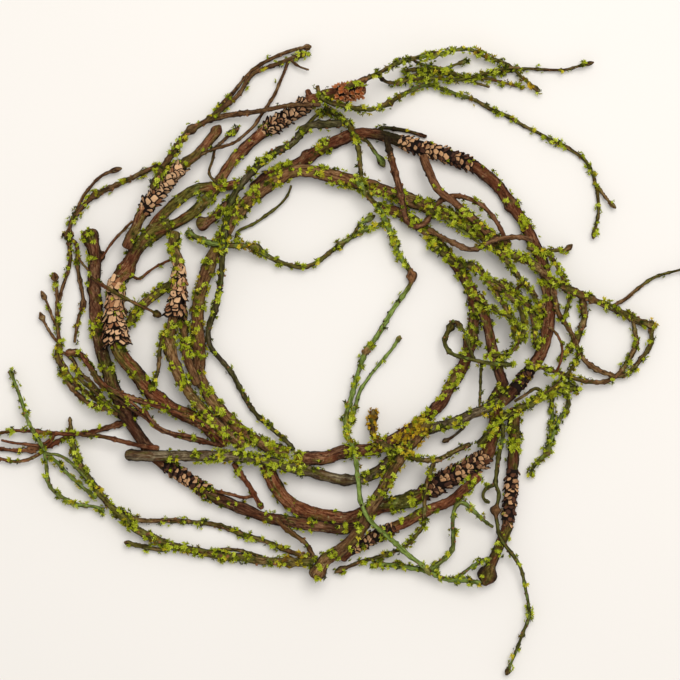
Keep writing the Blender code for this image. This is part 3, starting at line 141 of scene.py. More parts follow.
# Nodes from the lowest to the highest: name, finish and stems. A stem after the first starts on an
# earlier one. knots are (x, y, radius), sleeves are (name, start, end, width, flared width, finish), and bud
# and head are the (radius, half length) of a swollen end and start. foot is where a stem rests on the floor,
# moss is how mossy it is, and lift is the least height of its tip.
WREATH = [
    ("bottom_vine", BARK, [
        stem(8.5, 8, [(-44, -63), (-41, -72), (-36, -80), (-30, -86.5), (-21, -91), (-8, -94.5), (5, -96),
             (14, -93), (24, -89), (33, -87), (43, -83.5), (50, -80), (68, -69.5), (87, -59), (91, -48),
             (94, -35), (93, -27), (98, -17)], knots=[(43, -83.5, 5.4), (93, -27, 5.2)], foot=(22, -90),
             moss=0.5, sleeves=[("chip_sleeve_bottom", (52, -79), (86, -60), 14, 14, DARK_FLAKES)])]),
    ("right_arch_vine", BARK, [
        stem(7, 7, [(-52, 103), (-43.5, 110.5), (-36, 114), (-26, 118), (-19, 122.5), (-10, 128), (0, 133),
             (9, 136), (19, 136.5), (29, 134), (38, 131), (58, 125), (80, 117), (95, 105), (104, 92.5),
             (111, 82), (117, 70), (122, 59), (125, 48), (126.5, 33), (125.5, 22), (122, 6), (114, -6),
             (104, -18), (97, -25)], knots=[(-19, 122.5, 4.6), (104, 92.5, 4.6)], foot=(99, 99.5), moss=0.2,
             sleeves=[("chip_sleeve_arch", (38, 131), (79, 117.5), 11, 11, DARK_FLAKES),
             ("chip_sleeve_right", (114, -6), (104, -18), 9.5, 9.5, DARK_FLAKES)]),
        stem(2.4, 2, [(22, 136.5), (25, 140.2), (33, 139.6), (41, 138.2), (47, 136.5), (52, 135)],
             moss=1.5)]),
    ("inner_vine_left", OLIVE_BARK, [
        stem(8, 7.5, [(101, 68), (90, 73), (82, 79), (73, 84.5), (64, 88), (43, 96), (20, 104), (0, 109.5),
             (-19, 113.5), (-30, 112.5), (-47, 102), (-61, 89), (-72, 71), (-79, 57), (-85, 38), (-86, 20),
             (-84.5, 2), (-85, -9), (-76, -26), (-61, -42), (-44, -52), (-33, -56)], knots=[(-61, 89, 5)],
             moss=1.2)]),
    ("inner_vine_right", DARK_BARK, [
        stem(8, 6, [(-26, -59), (-8, -59), (0, -55.5), (18, -54), (29, -51), (36, -46.5), (46, -40.5),
             (55, -32), (62, -24.5), (66, -16), (74, -3.5), (79, 12), (81.5, 30), (79, 42), (73, 53),
             (66, 62), (56, 74), (44, 84), (36, 89), (25, 92)], knots=[(29, -51, 4.8), (79, 12, 4.9)],
             moss=1.2)]),
    ("left_brown_twig", BARK, [
        stem(3.6, 2, [(-118, -30), (-124, -33.5), (-129, -37), (-133.6, -38.8), (-142.4, -41.5),
             (-151, -44), (-160, -45), (-168.8, -48.5), (-175.8, -52), (-186.4, -54.2), (-195, -54.7),
             (-204, -53.8), (-213, -52)], knots=[(-186.4, -54.2, 2.6)], bud=(1.8, 3), moss=0.4)]),
    ("outer_left_vine", DARK_BARK, [
        stem(8, 6.5, [(-151, 76), (-148, 66), (-148, 56), (-148.5, 46), (-147.5, 36), (-146.5, 22),
             (-144.5, 8), (-140, -6), (-136, -18), (-129, -32.5), (-122, -44), (-117, -51), (-109, -60),
             (-91, -72), (-76, -82), (-68, -86), (-57, -90), (-45, -94.5), (-30, -97), (-15, -99.5),
             (0, -101.5), (12, -100.5)], knots=[(-150.5, 74, 5.6), (-129, -32.5, 4.9)], foot=(-148, 48),
             moss=1.0, sleeves=[("chip_sleeve_outer", (-106, -62), (-79, -80.5), 10.5, 10.5, DARK_FLAKES)]),
        stem(4, 3.6, [(-147.5, 55), (-146, 60), (-142.5, 65)], bud=(3, 3))]),
    ("mossy_branch", OLIVE_BARK, [
        stem(5.5, 5, [(-126.5, 22), (-124.8, 26.5), (-119.5, 32.7), (-111.6, 39), (-104.5, 44), (-99, 47)],
             moss=2)]),
    ("right_second_vine", DARK_BARK, [
        stem(6.5, 6, [(83, 38), (86, 29), (89, 19), (91, 8), (93, 0), (95, -8), (98, -15)], moss=1)]),
    ("trunk_left", BARK, [
        stem(8, 9, [(-70, -50), (-80, -40), (-90, -34), (-99, -30.5), (-108, -24.5), (-116, -17),
             (-123, -7), (-129, 0), (-133.5, 8), (-135, 28), (-134, 47), (-128.5, 54), (-124, 64),
             (-119, 70.5), (-112, 77), (-104, 81)], knots=[(-128.5, 55, 5.6), (-108, -24.5, 5)], moss=0.7,
             sleeves=[("chip_sleeve_trunk", (-134.3, 46), (-134.2, 12), 13, 19, FLAKES)]),
        stem(7, 5.5, [(-116, 74), (-111.5, 82), (-104.5, 90), (-96.5, 97), (-88.5, 102), (-79, 104),
             (-70, 104.5), (-60, 106)], moss=0.6),
        stem(6.5, 6.5, [(-106, 80), (-100, 82), (-90.5, 87.5), (-82.5, 94.5), (-76, 102), (-70, 112),
             (-64, 121), (-57.5, 127.5), (-50.5, 134), (-44, 139), (-32, 146), (-20, 154), (-13, 157),
             (-4, 159.5), (4, 160.5), (14, 161.5)], moss=0.5, lift=16,
             sleeves=[("chip_sleeve_upper", (-44, 139), (-21, 153.5), 11, 11, FLAKES),
             ("red_curled_flakes", (-1, 160), (12.5, 161.4), 10.5, 11.5, BARK)]),
        stem(4, 3.4, [(-17, 155.3), (-18.5, 158.5), (-19.5, 162)]),
        stem(1.8, 1.5, [(-129, 55), (-122, 48.5), (-116, 53), (-109, 57.4), (-102.5, 60.2)])]),
    ("inner_left_third", OLIVE_BARK, [
        stem(5.5, 5, [(-95, 30), (-94, 16), (-92.5, 4), (-89, -6), (-86, -14)], moss=1.2)]),
    ("lower_second_vine", BARK, [
        stem(6.5, 6, [(1, -119), (6, -114.5), (32, -101), (39.5, -98), (47, -93.5), (55, -89),
             (62.5, -86.5), (69, -82.5), (75, -77), (82, -70)], moss=0.8,
             sleeves=[("chip_sleeve_lower", (7, -114), (31, -101.5), 9.5, 9.5, DARK_FLAKES)])]),
    ("inner_left_twigs", OLIVE_BARK, [
        stem(2.4, 2, [(-107, 16), (-108.5, 5), (-109, -6), (-111.6, -14), (-114, -19.4)], moss=1),
        stem(2, 1.8, [(-107.3, 14), (-105.4, 4.3), (-102, -1.8)])]),
    ("lower_mossy_twig", OLIVE_BARK, [
        stem(2.6, 3, [(-132, -91), (-124.8, -95.4), (-119.5, -97), (-109, -97), (-98.4, -97), (-87, -98),
             (-76.4, -99.3), (-68.5, -101.5), (-57.7, -106), (-48, -108.6), (-39, -112), (-30.4, -115.6),
             (-20.7, -118.2), (-14.5, -119.6)], moss=1.8),
        stem(2.8, 3, [(-15.5, -119.4), (-20.7, -110.3), (-26, -106), (-33, -100.6), (-38, -95)])]),
    ("long_mossy_twig", OLIVE_BARK, [
        stem(4, 5, [(-162, -43), (-161.3, -51), (-160, -57.3), (-156.5, -64.3), (-152, -70.5),
             (-147.7, -76.7), (-142.4, -83), (-137, -89), (-131, -94.3), (-126.5, -98.7), (-123, -102),
             (-116, -105.5), (-109, -109), (-100, -112.5), (-89.6, -114.7), (-79, -117), (-70, -118.7),
             (-61, -119), (-48, -121), (-35, -121.3), (-26, -121.8), (-17, -122)],
             knots=[(-30.4, -121, 3.7)], moss=1.8),
        stem(2.6, 1.7, [(-161.8, -44.5), (-162.4, -40), (-163, -34.5)], bud=(1.5, 1.8)),
        stem(2, 1.8, [(-79, -116), (-70, -114.4), (-59.4, -115.3), (-47, -118.6)]),
        stem(2.6, 2.6, [(-101, -112.6), (-107, -114.6), (-115, -113.4), (-123, -111.6), (-130, -110)],
             bud=(2, 2.6), moss=1)]),
    ("left_twig_fan", BARK, [
        stem(3, 1.8, [(-109, -53), (-116, -52), (-124.8, -50.3), (-133.6, -48), (-142.4, -46),
             (-154.7, -44.5), (-164.4, -44.5), (-173, -44), (-186.4, -43), (-195, -42.7), (-204, -44),
             (-212, -46)], bud=(1.6, 3), knots=[(-182, -43.4, 1.9)], moss=0.6),
        stem(1.8, 1.5, [(-170, -44.2), (-179, -51), (-186.4, -51), (-197, -50), (-204, -48.5)]),
        stem(2, 1.8, [(-172, -46), (-179.4, -55.5), (-184.6, -58.6), (-190, -60.8), (-198.7, -61.3),
             (-204, -59.6), (-210, -60)], bud=(1.5, 3))]),
    ("left_green_spray", OLIVE_BARK, [
        stem(2.2, 2, [(-142.4, -91.6), (-147.7, -88.5), (-156.5, -87.7), (-161.8, -85.5), (-168.8, -82),
             (-174, -77.5), (-176.3, -72), (-176.7, -65), (-177.6, -56.4), (-179.4, -51), (-183, -45),
             (-187.3, -37), (-191, -26.5), (-195, -16), (-199.2, -6.2)], bud=(1.8, 1.8), moss=1.4),
        stem(2.2, 2, [(-177.4, -57.5), (-171.4, -61), (-166, -67), (-160, -72.3), (-154.7, -76.7),
             (-149.4, -81), (-146.8, -83)], moss=1),
        stem(1.8, 1.6, [(-177.6, -56.4), (-168.8, -57.3), (-161.8, -61.7), (-156.5, -67), (-152, -71.5)])]),
    ("far_left_sprig", OLIVE_BARK, [
        stem(2.8, 2, [(-140.6, -28), (-146, -24.7), (-151, -21), (-156.5, -17), (-162, -11.5), (-166, -4.5),
             (-168.8, 0.8), (-168.6, 7), (-169.7, 12.5), (-170.6, 20.4), (-171, 29), (-170.6, 38),
             (-171.4, 45), (-172.3, 52.5)], bud=(2.3, 2.3), moss=1),
        stem(1.8, 1.5, [(-170.6, 19), (-174, 26.5), (-176.7, 34.5), (-180.2, 41.5)], bud=(1.6, 3)),
        stem(1.8, 1.5, [(-170, 10), (-174, 15), (-178.5, 23), (-181, 28.7)], bud=(1.6, 3)),
        stem(2.8, 3, [(-170, 10), (-171, 2.6), (-168, -4.5), (-164.4, -13.3), (-159, -19.4), (-153, -24.7),
             (-146, -28), (-139.8, -29), (-133.6, -32.6)], moss=1.5),
        stem(2.2, 2, [(-167.5, 5), (-161, 0), (-159, -5.4), (-154.7, -9.8), (-149.4, -14.2), (-146, -18.6),
             (-141.5, -24.7)])]),
    ("left_outer_spray", OLIVE_BARK, [
        stem(3.2, 2, [(-94, 119), (-103, 117), (-111.6, 116), (-119.5, 113), (-126.5, 109.3),
             (-134.5, 105.8), (-140.6, 103), (-147, 100), (-151, 97), (-155.6, 91.7), (-159, 88),
             (-162, 84), (-163.5, 76.7), (-163.5, 69.7), (-162.6, 62.6), (-163.5, 55.6), (-165.3, 49.4),
             (-168, 41.5), (-169, 36)], knots=[(-147, 100, 2.8), (-163.6, 75, 2.8)], moss=1.2),
        stem(2, 1.8, [(-161, 86), (-158, 92.6), (-154.7, 99.6), (-151, 104), (-147.7, 108), (-142.4, 112),
             (-137, 114), (-131.8, 115.6)], bud=(1.9, 4)),
        stem(2.6, 1.8, [(-163, 73), (-159, 69.7), (-159, 60), (-157.4, 49.4), (-155.6, 40.6),
             (-154.7, 32.7), (-157.4, 26.5), (-159, 18.6), (-160, 10.7)], knots=[(-154.7, 32.7, 2.2)],
             moss=0.8),
        stem(1.6, 1.4, [(-159, 64), (-156, 59), (-151.5, 54)])]),
    ("dark_cross_twig", DARK_BARK, [
        stem(2.6, 2.4, [(-137, -21), (-129, -26.5), (-117.7, -33.5), (-111.6, -39.7), (-104.5, -43.2),
             (-94, -46.7), (-80.8, -49.4), (-72, -51)])]),
    ("brown_cross_twig", BARK, [
        stem(4, 3, [(-164.4, 4.3), (-156.5, 3.4), (-151, -2.7), (-146, -10.6), (-140.6, -16),
             (-133.6, -19.4), (-124.8, -23), (-116, -25.6), (-109, -27.4), (-98.4, -31.8), (-89.6, -35.3),
             (-82.5, -39.7), (-73.7, -46), (-69.3, -50.3)], moss=0.3)]),
    ("inner_left_second", OLIVE_BARK, [
        stem(6.5, 6.5, [(-99, 76), (-100, 68), (-97, 58), (-96.5, 42), (-99, 27), (-101.5, 18), (-101.5, 9),
             (-99, -2), (-95, -12), (-90, -20.5), (-84, -28), (-77, -36), (-68, -44), (-59, -50.5)],
             moss=1.4, sleeves=[("chip_sleeve_inner", (-96.6, 55), (-98.5, 29), 10, 15, FLAKES)])]),
    ("lower_left_link", BARK, [
        stem(3.5, 3, [(-63.8, -62.6), (-59.4, -69.6), (-54, -76.7), (-50.6, -83), (-47, -89)], moss=0.5),
        stem(2, 1.8, [(-51.5, -81.5), (-58, -83), (-64.7, -81), (-74.4, -78.6)])]),
    ("bottom_cross_vine", GREY_BARK, [
        stem(6.5, 6, [(-127, -57), (-116, -57.3), (-100, -57.3), (-85, -57.5), (-70, -57.8), (-52, -59),
             (-39, -62), (-29, -64.5), (-17, -67), (-8, -69.8), (3, -72.3), (14, -71.4), (23, -67),
             (30, -60.5), (36, -54), (42, -48), (50, -43), (59, -39.7), (69, -37), (78, -32.7), (87, -29),
             (94, -24.5)], knots=[(3, -72.3, 4)], moss=1.6),
        stem(1.8, 1.5, [(79, -32.5), (74, -41), (67.5, -46.7), (61.8, -49.4)], bud=(1.8, 1.8))]),
    ("right_lower_vine", BARK, [
        stem(7, 6, [(105, -30), (105, -41), (105.5, -50), (104.5, -60), (103, -80), (101, -98),
             (99.5, -104), (96, -112), (92, -121), (89, -129), (87, -135)], bud=(5.8, 5.8), moss=0.5,
             sleeves=[("chip_sleeve_corner", (104, -67), (101.3, -96), 9.8, 9.8, DARK_FLAKES)])]),
    ("curled_tendril", BARK, [
        stem(2.6, 1.6, [(97.7, -38.8), (97.7, -47.6), (95, -59), (94, -68), (93.3, -74), (95.6, -80),
             (95, -85), (93.4, -91), (94.5, -98), (95.5, -105), (99, -111), (104, -117.4), (109, -126),
             (111.8, -138.5), (114, -150), (114, -156), (111, -163), (107.4, -172.8), (103.8, -181.6),
             (100.3, -190)], knots=[(93.4, -91, 3.6)], bud=(2, 2)),
        stem(2.4, 1.8, [(93.3, -75), (89, -76.6), (86.2, -79.8), (86.4, -84.2), (90, -86)], moss=1)]),
    ("lower_diagonal_vine", OLIVE_BARK, [
        stem(8, 6, [(-14.5, -129), (-8, -119), (0, -113.5), (8, -106.5), (13.5, -99), (18, -89.5),
             (25, -78.5), (30, -69), (36, -59), (43, -49.5), (52, -38)], knots=[(-13.5, -127, 5)],
             moss=1.3)]),
    ("dark_stub", DARK_BARK, [
        stem(6, 5, [(-84, 81), (-76, 85.5), (-70, 91), (-63, 98)], knots=[(-83, 82, 4.4)], moss=0.5)]),
    ("stub_left", BARK, [
        stem(6.5, 5.5, [(-127.5, 68), (-124.5, 75), (-121, 82), (-118.5, 88), (-107, 103), (-94, 117.5),
             (-88, 121.5), (-82, 127.5), (-77, 134), (-72.5, 141)], bud=(3.6, 4), moss=0.4,
             sleeves=[("chip_sleeve_left", (-117.5, 89.5), (-95.5, 116), 10.5, 10.5, FLAKES)]),
        stem(1.8, 1.5, [(-121.5, 81), (-124.8, 83.8), (-130, 78.5), (-134.5, 74), (-139, 68),
             (-143.3, 61)])]),
    ("hole_top_spray", OLIVE_BARK, [
        stem(3.5, 2, [(-92, 77), (-84.5, 73), (-77, 70), (-66.5, 68.8), (-58, 68.6), (-50.6, 67.5),
             (-45.3, 63.5), (-39, 60), (-31.3, 57.3), (-23.3, 55.6), (-17, 57.4), (-11, 61), (-5.7, 65.3),
             (0.4, 69.7), (7.5, 74), (13.6, 77.6), (20.7, 81), (27, 83)], knots=[(0.4, 69.7, 2),
             (-50.6, 67.5, 3)], moss=1.2),
        stem(1.8, 1.6, [(7.5, 74), (10, 79.5), (14.5, 83.5), (21, 87)], bud=(2, 4)),
        stem(1.8, 1.5, [(-60, 68.6), (-62.5, 77), (-52.4, 82), (-43.6, 88), (-36.5, 93.4), (-31.3, 99.6),
             (-29.5, 105)])]),
    ("dark_strand", DARK_BARK, [
        stem(4.2, 2.4, [(28, 133), (30.5, 122.5), (33.5, 111), (36, 101), (37.8, 92), (39.5, 84),
             (44, 80.2), (49.5, 81), (53.5, 85), (56.5, 91), (60, 95.5), (64.5, 98), (71, 98.7), (80, 96),
             (87, 91.5), (93, 84.5), (97.5, 76.5), (99.5, 70)])]),
    ("second_strand", OLIVE_BARK, [
        stem(5, 4.4, [(50, 122), (53.5, 113), (57, 105), (62.5, 98.5), (68.5, 94.3), (75.5, 88), (81.5, 83),
             (88.5, 76), (94, 72)])]),
    ("top_middle_spray", OLIVE_BARK, [
        stem(3, 2.6, [(-9, 151.8), (-3.8, 148), (2.4, 144.7), (6.8, 138.5), (9.4, 132.4), (11.2, 126),
             (12, 119), (12.5, 112), (13.8, 105)], moss=1.4),
        stem(2.4, 2, [(-8, 151), (-13.4, 148), (-17.8, 143.8), (-22, 138.5)], moss=0.8),
        stem(2.2, 2, [(8.6, 134), (16.5, 131.5), (20, 126), (23.5, 122), (26.6, 116.5)], bud=(2.5, 3.4))]),
    ("tan_branch", GREY_BARK, [
        stem(3, 3, [(53.5, 78.5), (62.3, 73), (71, 68.8), (78, 66), (85.5, 68), (91.5, 71.5), (101, 73.5),
             (110, 73.5), (115, 72)], moss=-1.5)]),
    ("inner_right_spray", BARK, [
        stem(2.6, 2.4, [(68.4, 24), (65.8, 18.4), (62.7, 12.2), (64, 7), (67.5, 3.4), (72.8, 1.7), (80, 0),
             (87.8, -1.8), (97.5, -2.7), (102.7, -2.7)], head=(2.2, 4), moss=0.4),
        stem(2, 1.8, [(80, 0), (77.5, 8), (75.5, 15.8), (69.5, 23.5)], bud=(1.7, 3)),
        stem(2.4, 2, [(94, -2.5), (97, 1.5), (102.7, 6), (106.3, 11.4), (107, 16.6), (104.5, 21),
             (102, 25.4), (95.7, 28), (89.5, 31.6)], moss=1.5),
        stem(1.8, 1.5, [(84.8, -1), (84.3, -10.6), (83.8, -18.6), (83, -28)])]),
    ("right_moss_spray", OLIVE_BARK, [
        stem(4.2, 2.6, [(55, 69.7), (64, 62.6), (71, 57.5), (81.6, 55.6), (88.7, 47.7), (94.8, 43.3),
             (101, 38), (106.3, 33.6), (109, 26.5), (109.8, 20.4), (109, 11.6)], moss=2.2),
        stem(3, 2.2, [(88.7, 47.7), (93, 41.5), (97.5, 33.6), (101, 27.4), (103.5, 20.4), (103.6, 14)],
             moss=2),
        stem(3, 2.2, [(93, 44.6), (97.5, 46.8), (105.4, 41.5), (111.5, 36), (115.3, 31), (118, 24),
             (117, 16), (118, 8)], moss=2),
        stem(2.6, 2, [(117.3, 17.5), (121, 27.4), (123, 38), (120.6, 48.5)], moss=1.4),
        stem(2.2, 2, [(105.4, 41.5), (110, 46), (114.4, 44), (118.8, 38)], moss=1.4)]),
    ("right_top_twig", OLIVE_BARK, [
        stem(2.8, 2, [(113, 67.5), (118.8, 66), (124, 64.4), (127.6, 61), (131, 55.6), (134.6, 48.5),
             (138, 41.5), (138, 34.5), (135.5, 27)], moss=1.6),
        stem(2.4, 2, [(122, 65), (131, 66), (135.5, 65.8), (140, 69.5)], bud=(1.8, 3), moss=1.6)]),
    ("right_branch", OLIVE_BARK, [
        stem(5, 3.6, [(95, 66), (110, 61), (119, 55.5), (127.5, 47), (135, 44), (143.5, 39.7), (152.3, 36),
             (161, 32.7), (167, 30), (176, 25), (184, 22), (190, 21)], moss=1.4, bud=(2.4, 3)),
        stem(2.2, 1.6, [(163, 32), (172, 36.5), (178, 41.5), (183, 45.5), (189, 49.5), (196, 52), (204, 54),
             (213, 56.5)], bud=(1.7, 4)),
        stem(3, 2.4, [(176.5, 24.8), (179, 11.5), (177, 5), (174, 0), (170.5, -5.5), (166, -10),
             (159, -13.3), (152, -13.3), (145, -12.4), (139, -10.3), (132, -8), (125.5, -6), (118, -3.6),
             (112, -2.7)], moss=1.2),
        stem(3, 2.4, [(187, 21.4), (188.3, 13), (186.5, 7), (182, 1), (177.5, -4.5), (172, -9), (167, -10)],
             moss=1.2),
        stem(4, 3, [(146, 38.5), (147.5, 25), (145, 18), (142, 10), (136.5, 5), (132, 0)], moss=1.4),
        stem(3.4, 2.6, [(127, 47.4), (131, 29), (135.5, 22), (139, 16.5), (142, 10), (144.5, 3.5),
             (149, -2), (155, -6), (160, -8), (166.5, -10)], moss=0.3)]),
    ("green_spray", OLIVE_BARK, [
        stem(4, 4, [(143.5, -18), (136.4, -16), (130, -17.5), (122.3, -20.3), (115.3, -25.6), (108, -29),
             (101, -32.6), (96, -36), (90, -43), (83.6, -50.3)], moss=2.2),
        stem(2, 1.8, [(122, -20.4), (118, -16.5), (111.8, -20.5), (104.7, -24.6)]),
        stem(2.6, 2, [(134, -16.2), (135.5, -20.3), (138, -24), (137.7, -29), (133.8, -33.5), (131, -38.8),
             (129.4, -43), (126.7, -50.3)], moss=1.2),
        stem(2.6, 2, [(130, -17.5), (127.6, -25.6), (128.5, -33.5), (127, -41.5), (127.6, -46.7),
             (126, -53), (123.5, -57.5), (119.7, -61), (116, -65), (114.8, -69.6)],
             knots=[(125.4, -55, 2.8)], moss=1)]),
    ("long_arch_spray", OLIVE_BARK, [
        stem(2.6, 1.8, [(-13.5, 163.5), (-12, 158.5), (-8, 154.5), (2.4, 152), (8.6, 151), (15.6, 150),
             (22.6, 151), (28.8, 154), (34, 157.5), (41, 161.4), (49, 165), (55, 165.8), (62.3, 163),
             (72.8, 159.7), (81.6, 157), (90.4, 151.8), (101, 147.4), (111.8, 141), (120.6, 136.8),
             (127.6, 132.4), (134.6, 129.8), (141.7, 125.4), (148.7, 120), (152.3, 113), (154, 108),
             (155.8, 99), (156.2, 91), (155.3, 84), (154, 79), (152.7, 73)], bud=(1.6, 3),
             knots=[(28.8, 154, 2.3)], moss=1.7),
        stem(1.8, 1.5, [(154.5, 106), (157.5, 102), (161, 97), (166.3, 91.5)], bud=(1.6, 3), moss=1)]),
    ("top_right_spray", OLIVE_BARK, [
        stem(2.8, 1.8, [(5, 163), (13, 166), (20, 169.4), (27, 173), (34, 177.3), (43, 180), (50.8, 182),
             (56.5, 183), (62.3, 184.3), (68.4, 186), (75.5, 187), (81, 186), (87, 182.6), (94, 180.8),
             (101, 178), (105.6, 174.6), (110, 170), (115.3, 165.8), (120.5, 162)], knots=[(56.5, 183, 2.4),
             (13, 166, 2.2)], moss=1.5, bud=(1.6, 3)),
        stem(2.2, 1.6, [(22, 170.4), (28.8, 167), (37.6, 168.5), (43.8, 172), (59.6, 173), (68.4, 172),
             (75.5, 170), (81.6, 171), (93.3, 173), (103, 174.6), (112.6, 176), (120.6, 175.5),
             (134.6, 175), (140.8, 176.4), (147, 178), (153, 179.5)], bud=(1.5, 3), moss=1.2),
        stem(1.8, 1.5, [(43, 180), (49, 178), (55, 177.3), (63, 175.5), (69.3, 178), (77, 180.4)], bud=(1.4,
             3), moss=0.5),
        stem(1.6, 1.4, [(73, 170.7), (79, 168), (90, 164.6)])]),
    ("lichen_stem", GREY_BARK, [
        stem(4.6, 2.5, [(0, 142), (-8, 141.5), (-17, 141), (-22.5, 137.5), (-27, 131), (-35, 126.5),
             (-42, 122.5), (-49, 116.5), (-55, 110), (-61, 102.5), (-65.5, 94), (-68, 83), (-69.5, 70),
             (-71, 53), (-72.5, 42), (-75, 31), (-79, 20), (-79.5, 12), (-77, 6), (-71, -1), (-64.5, -9),
             (-59, -19.5), (-54, -28), (-48.5, -35), (-40.5, -42), (-33.5, -48), (-28, -54)], moss=0.5)]),
    ("upper_left_spray", OLIVE_BARK, [
        stem(4, 2, [(-112, 103), (-107, 113), (-103.5, 119), (-99, 126), (-94.7, 133), (-89.4, 138.6),
             (-84, 141.5), (-79, 144.7), (-74, 149), (-68, 154), (-61, 160), (-57, 167), (-54, 171.5),
             (-47, 175.5), (-36.6, 179), (-29.6, 182), (-19.5, 185)], knots=[(-89.4, 138.6, 3.2)], bud=(1.8,
             4), moss=1.3),
        stem(2.4, 2, [(-76, 147.2), (-70, 156), (-64, 162), (-57, 171), (-48, 178.5), (-38, 183.5),
             (-28, 187), (-17.5, 189)], bud=(2.3, 2.3), moss=0.6),
        stem(2, 1.8, [(-31, 181.4), (-33.5, 174), (-36.6, 167), (-39, 160.6), (-42, 156), (-45.4, 150.5),
             (-49, 145.5), (-51.6, 141), (-57, 136), (-62, 131.5), (-66.5, 129.3), (-72, 127.5), (-77, 126),
             (-83, 123)]),
        stem(1.8, 1.6, [(-75.3, 126.6), (-77, 119), (-79, 114), (-78, 110), (-74, 107)]),
        stem(2, 1.8, [(-76, 126.3), (-72, 130.5), (-67.4, 135), (-61, 140)], bud=(2, 4), moss=0.8),
        stem(3.4, 2.4, [(-80, 144), (-72, 146.5), (-62, 148), (-50, 149), (-38, 151), (-28, 152.4),
             (-12, 152.5)], moss=0.2),
        stem(1.4, 1.2, [(-30.5, 181.7), (-25, 177), (-19, 175)])]),
    ("ball_twig", BARK, [
        stem(2, 1.8, [(-149.4, 49.4), (-142.4, 45), (-136.2, 41.5), (-128.3, 37), (-120.4, 33),
             (-114.2, 30), (-108, 26.5)], bud=(2.3, 2.3))]),
    ("bottom_right_spray", OLIVE_BARK, [
        stem(3, 2.6, [(20, -123), (28.8, -123.5), (37.6, -124.4), (46.4, -126), (55, -128), (61.4, -131.4),
             (70, -132.3), (75.5, -132.3), (84, -133.5)], moss=2),
        stem(2, 1.8, [(70, -132.2), (79, -124.4), (85, -121), (91, -119)], bud=(1.7, 3), moss=1),
        stem(3, 2, [(53, -127.5), (59.6, -122.7), (65, -118), (68, -113), (68, -106), (67.5, -98),
             (68, -91), (69.5, -86.5), (73, -84.8), (77, -87.4), (81.6, -91.8), (87, -97), (92, -100.6)],
             moss=1)]),
    ("ochre_twig", OLIVE_BARK, [
        stem(3.4, 3, [(20, -30), (19.6, -38), (19.2, -44), (23, -48.6), (30.6, -52.6), (39.4, -56),
             (46.4, -59), (53.5, -60), (59, -59.5), (64, -57.3), (71, -53.8), (78, -51)], head=(2.4, 5),
             moss=1.6),
        stem(2.4, 2, [(57, -60), (53.5, -68), (51.7, -75), (50.8, -83), (50.4, -91.6), (50, -99.8),
             (46.4, -104.2), (42, -109.4), (35.8, -113.8), (28.8, -116.5), (21.8, -119), (13.8, -121),
             (6.8, -124), (-3, -128)], bud=(1.9, 4), moss=1.5)]),
    ("hole_twig", BARK, [
        stem(3, 2.6, [(11, 107), (17, 98), (24, 90), (27.5, 83), (31.4, 75), (33, 69.7), (35, 64.4),
             (37.6, 60), (41, 55.6), (43.6, 49.6), (41, 43), (36.7, 37), (32.3, 31), (27, 22), (21.8, 13.3),
             (15.6, 5.4), (13, -1.6), (10.3, -9.5), (6.4, -24), (3.9, -32.6), (3.5, -39.7), (5, -46),
             (7.7, -52), (9.4, -59), (10.3, -68), (11.2, -75), (12, -83.7), (15, -91), (18.2, -96),
             (25.3, -102.4), (32.3, -108.6), (37.6, -113.8), (43.8, -119), (50, -123.5), (54, -129)],
             knots=[(43.4, 50.2, 3.2), (15.6, 5.4, 2.1)], moss=0.5, bud=(1.8, 3)),
        stem(2.2, 1.8, [(4, -41), (7.6, -34), (10.3, -24.7), (12, -18.6), (15.6, -13.3), (20, -7),
             (24.4, -1.8), (28, 2.6), (32.3, 7.8), (36.3, 14.5)], bud=(1.9, 1.9))]),
]

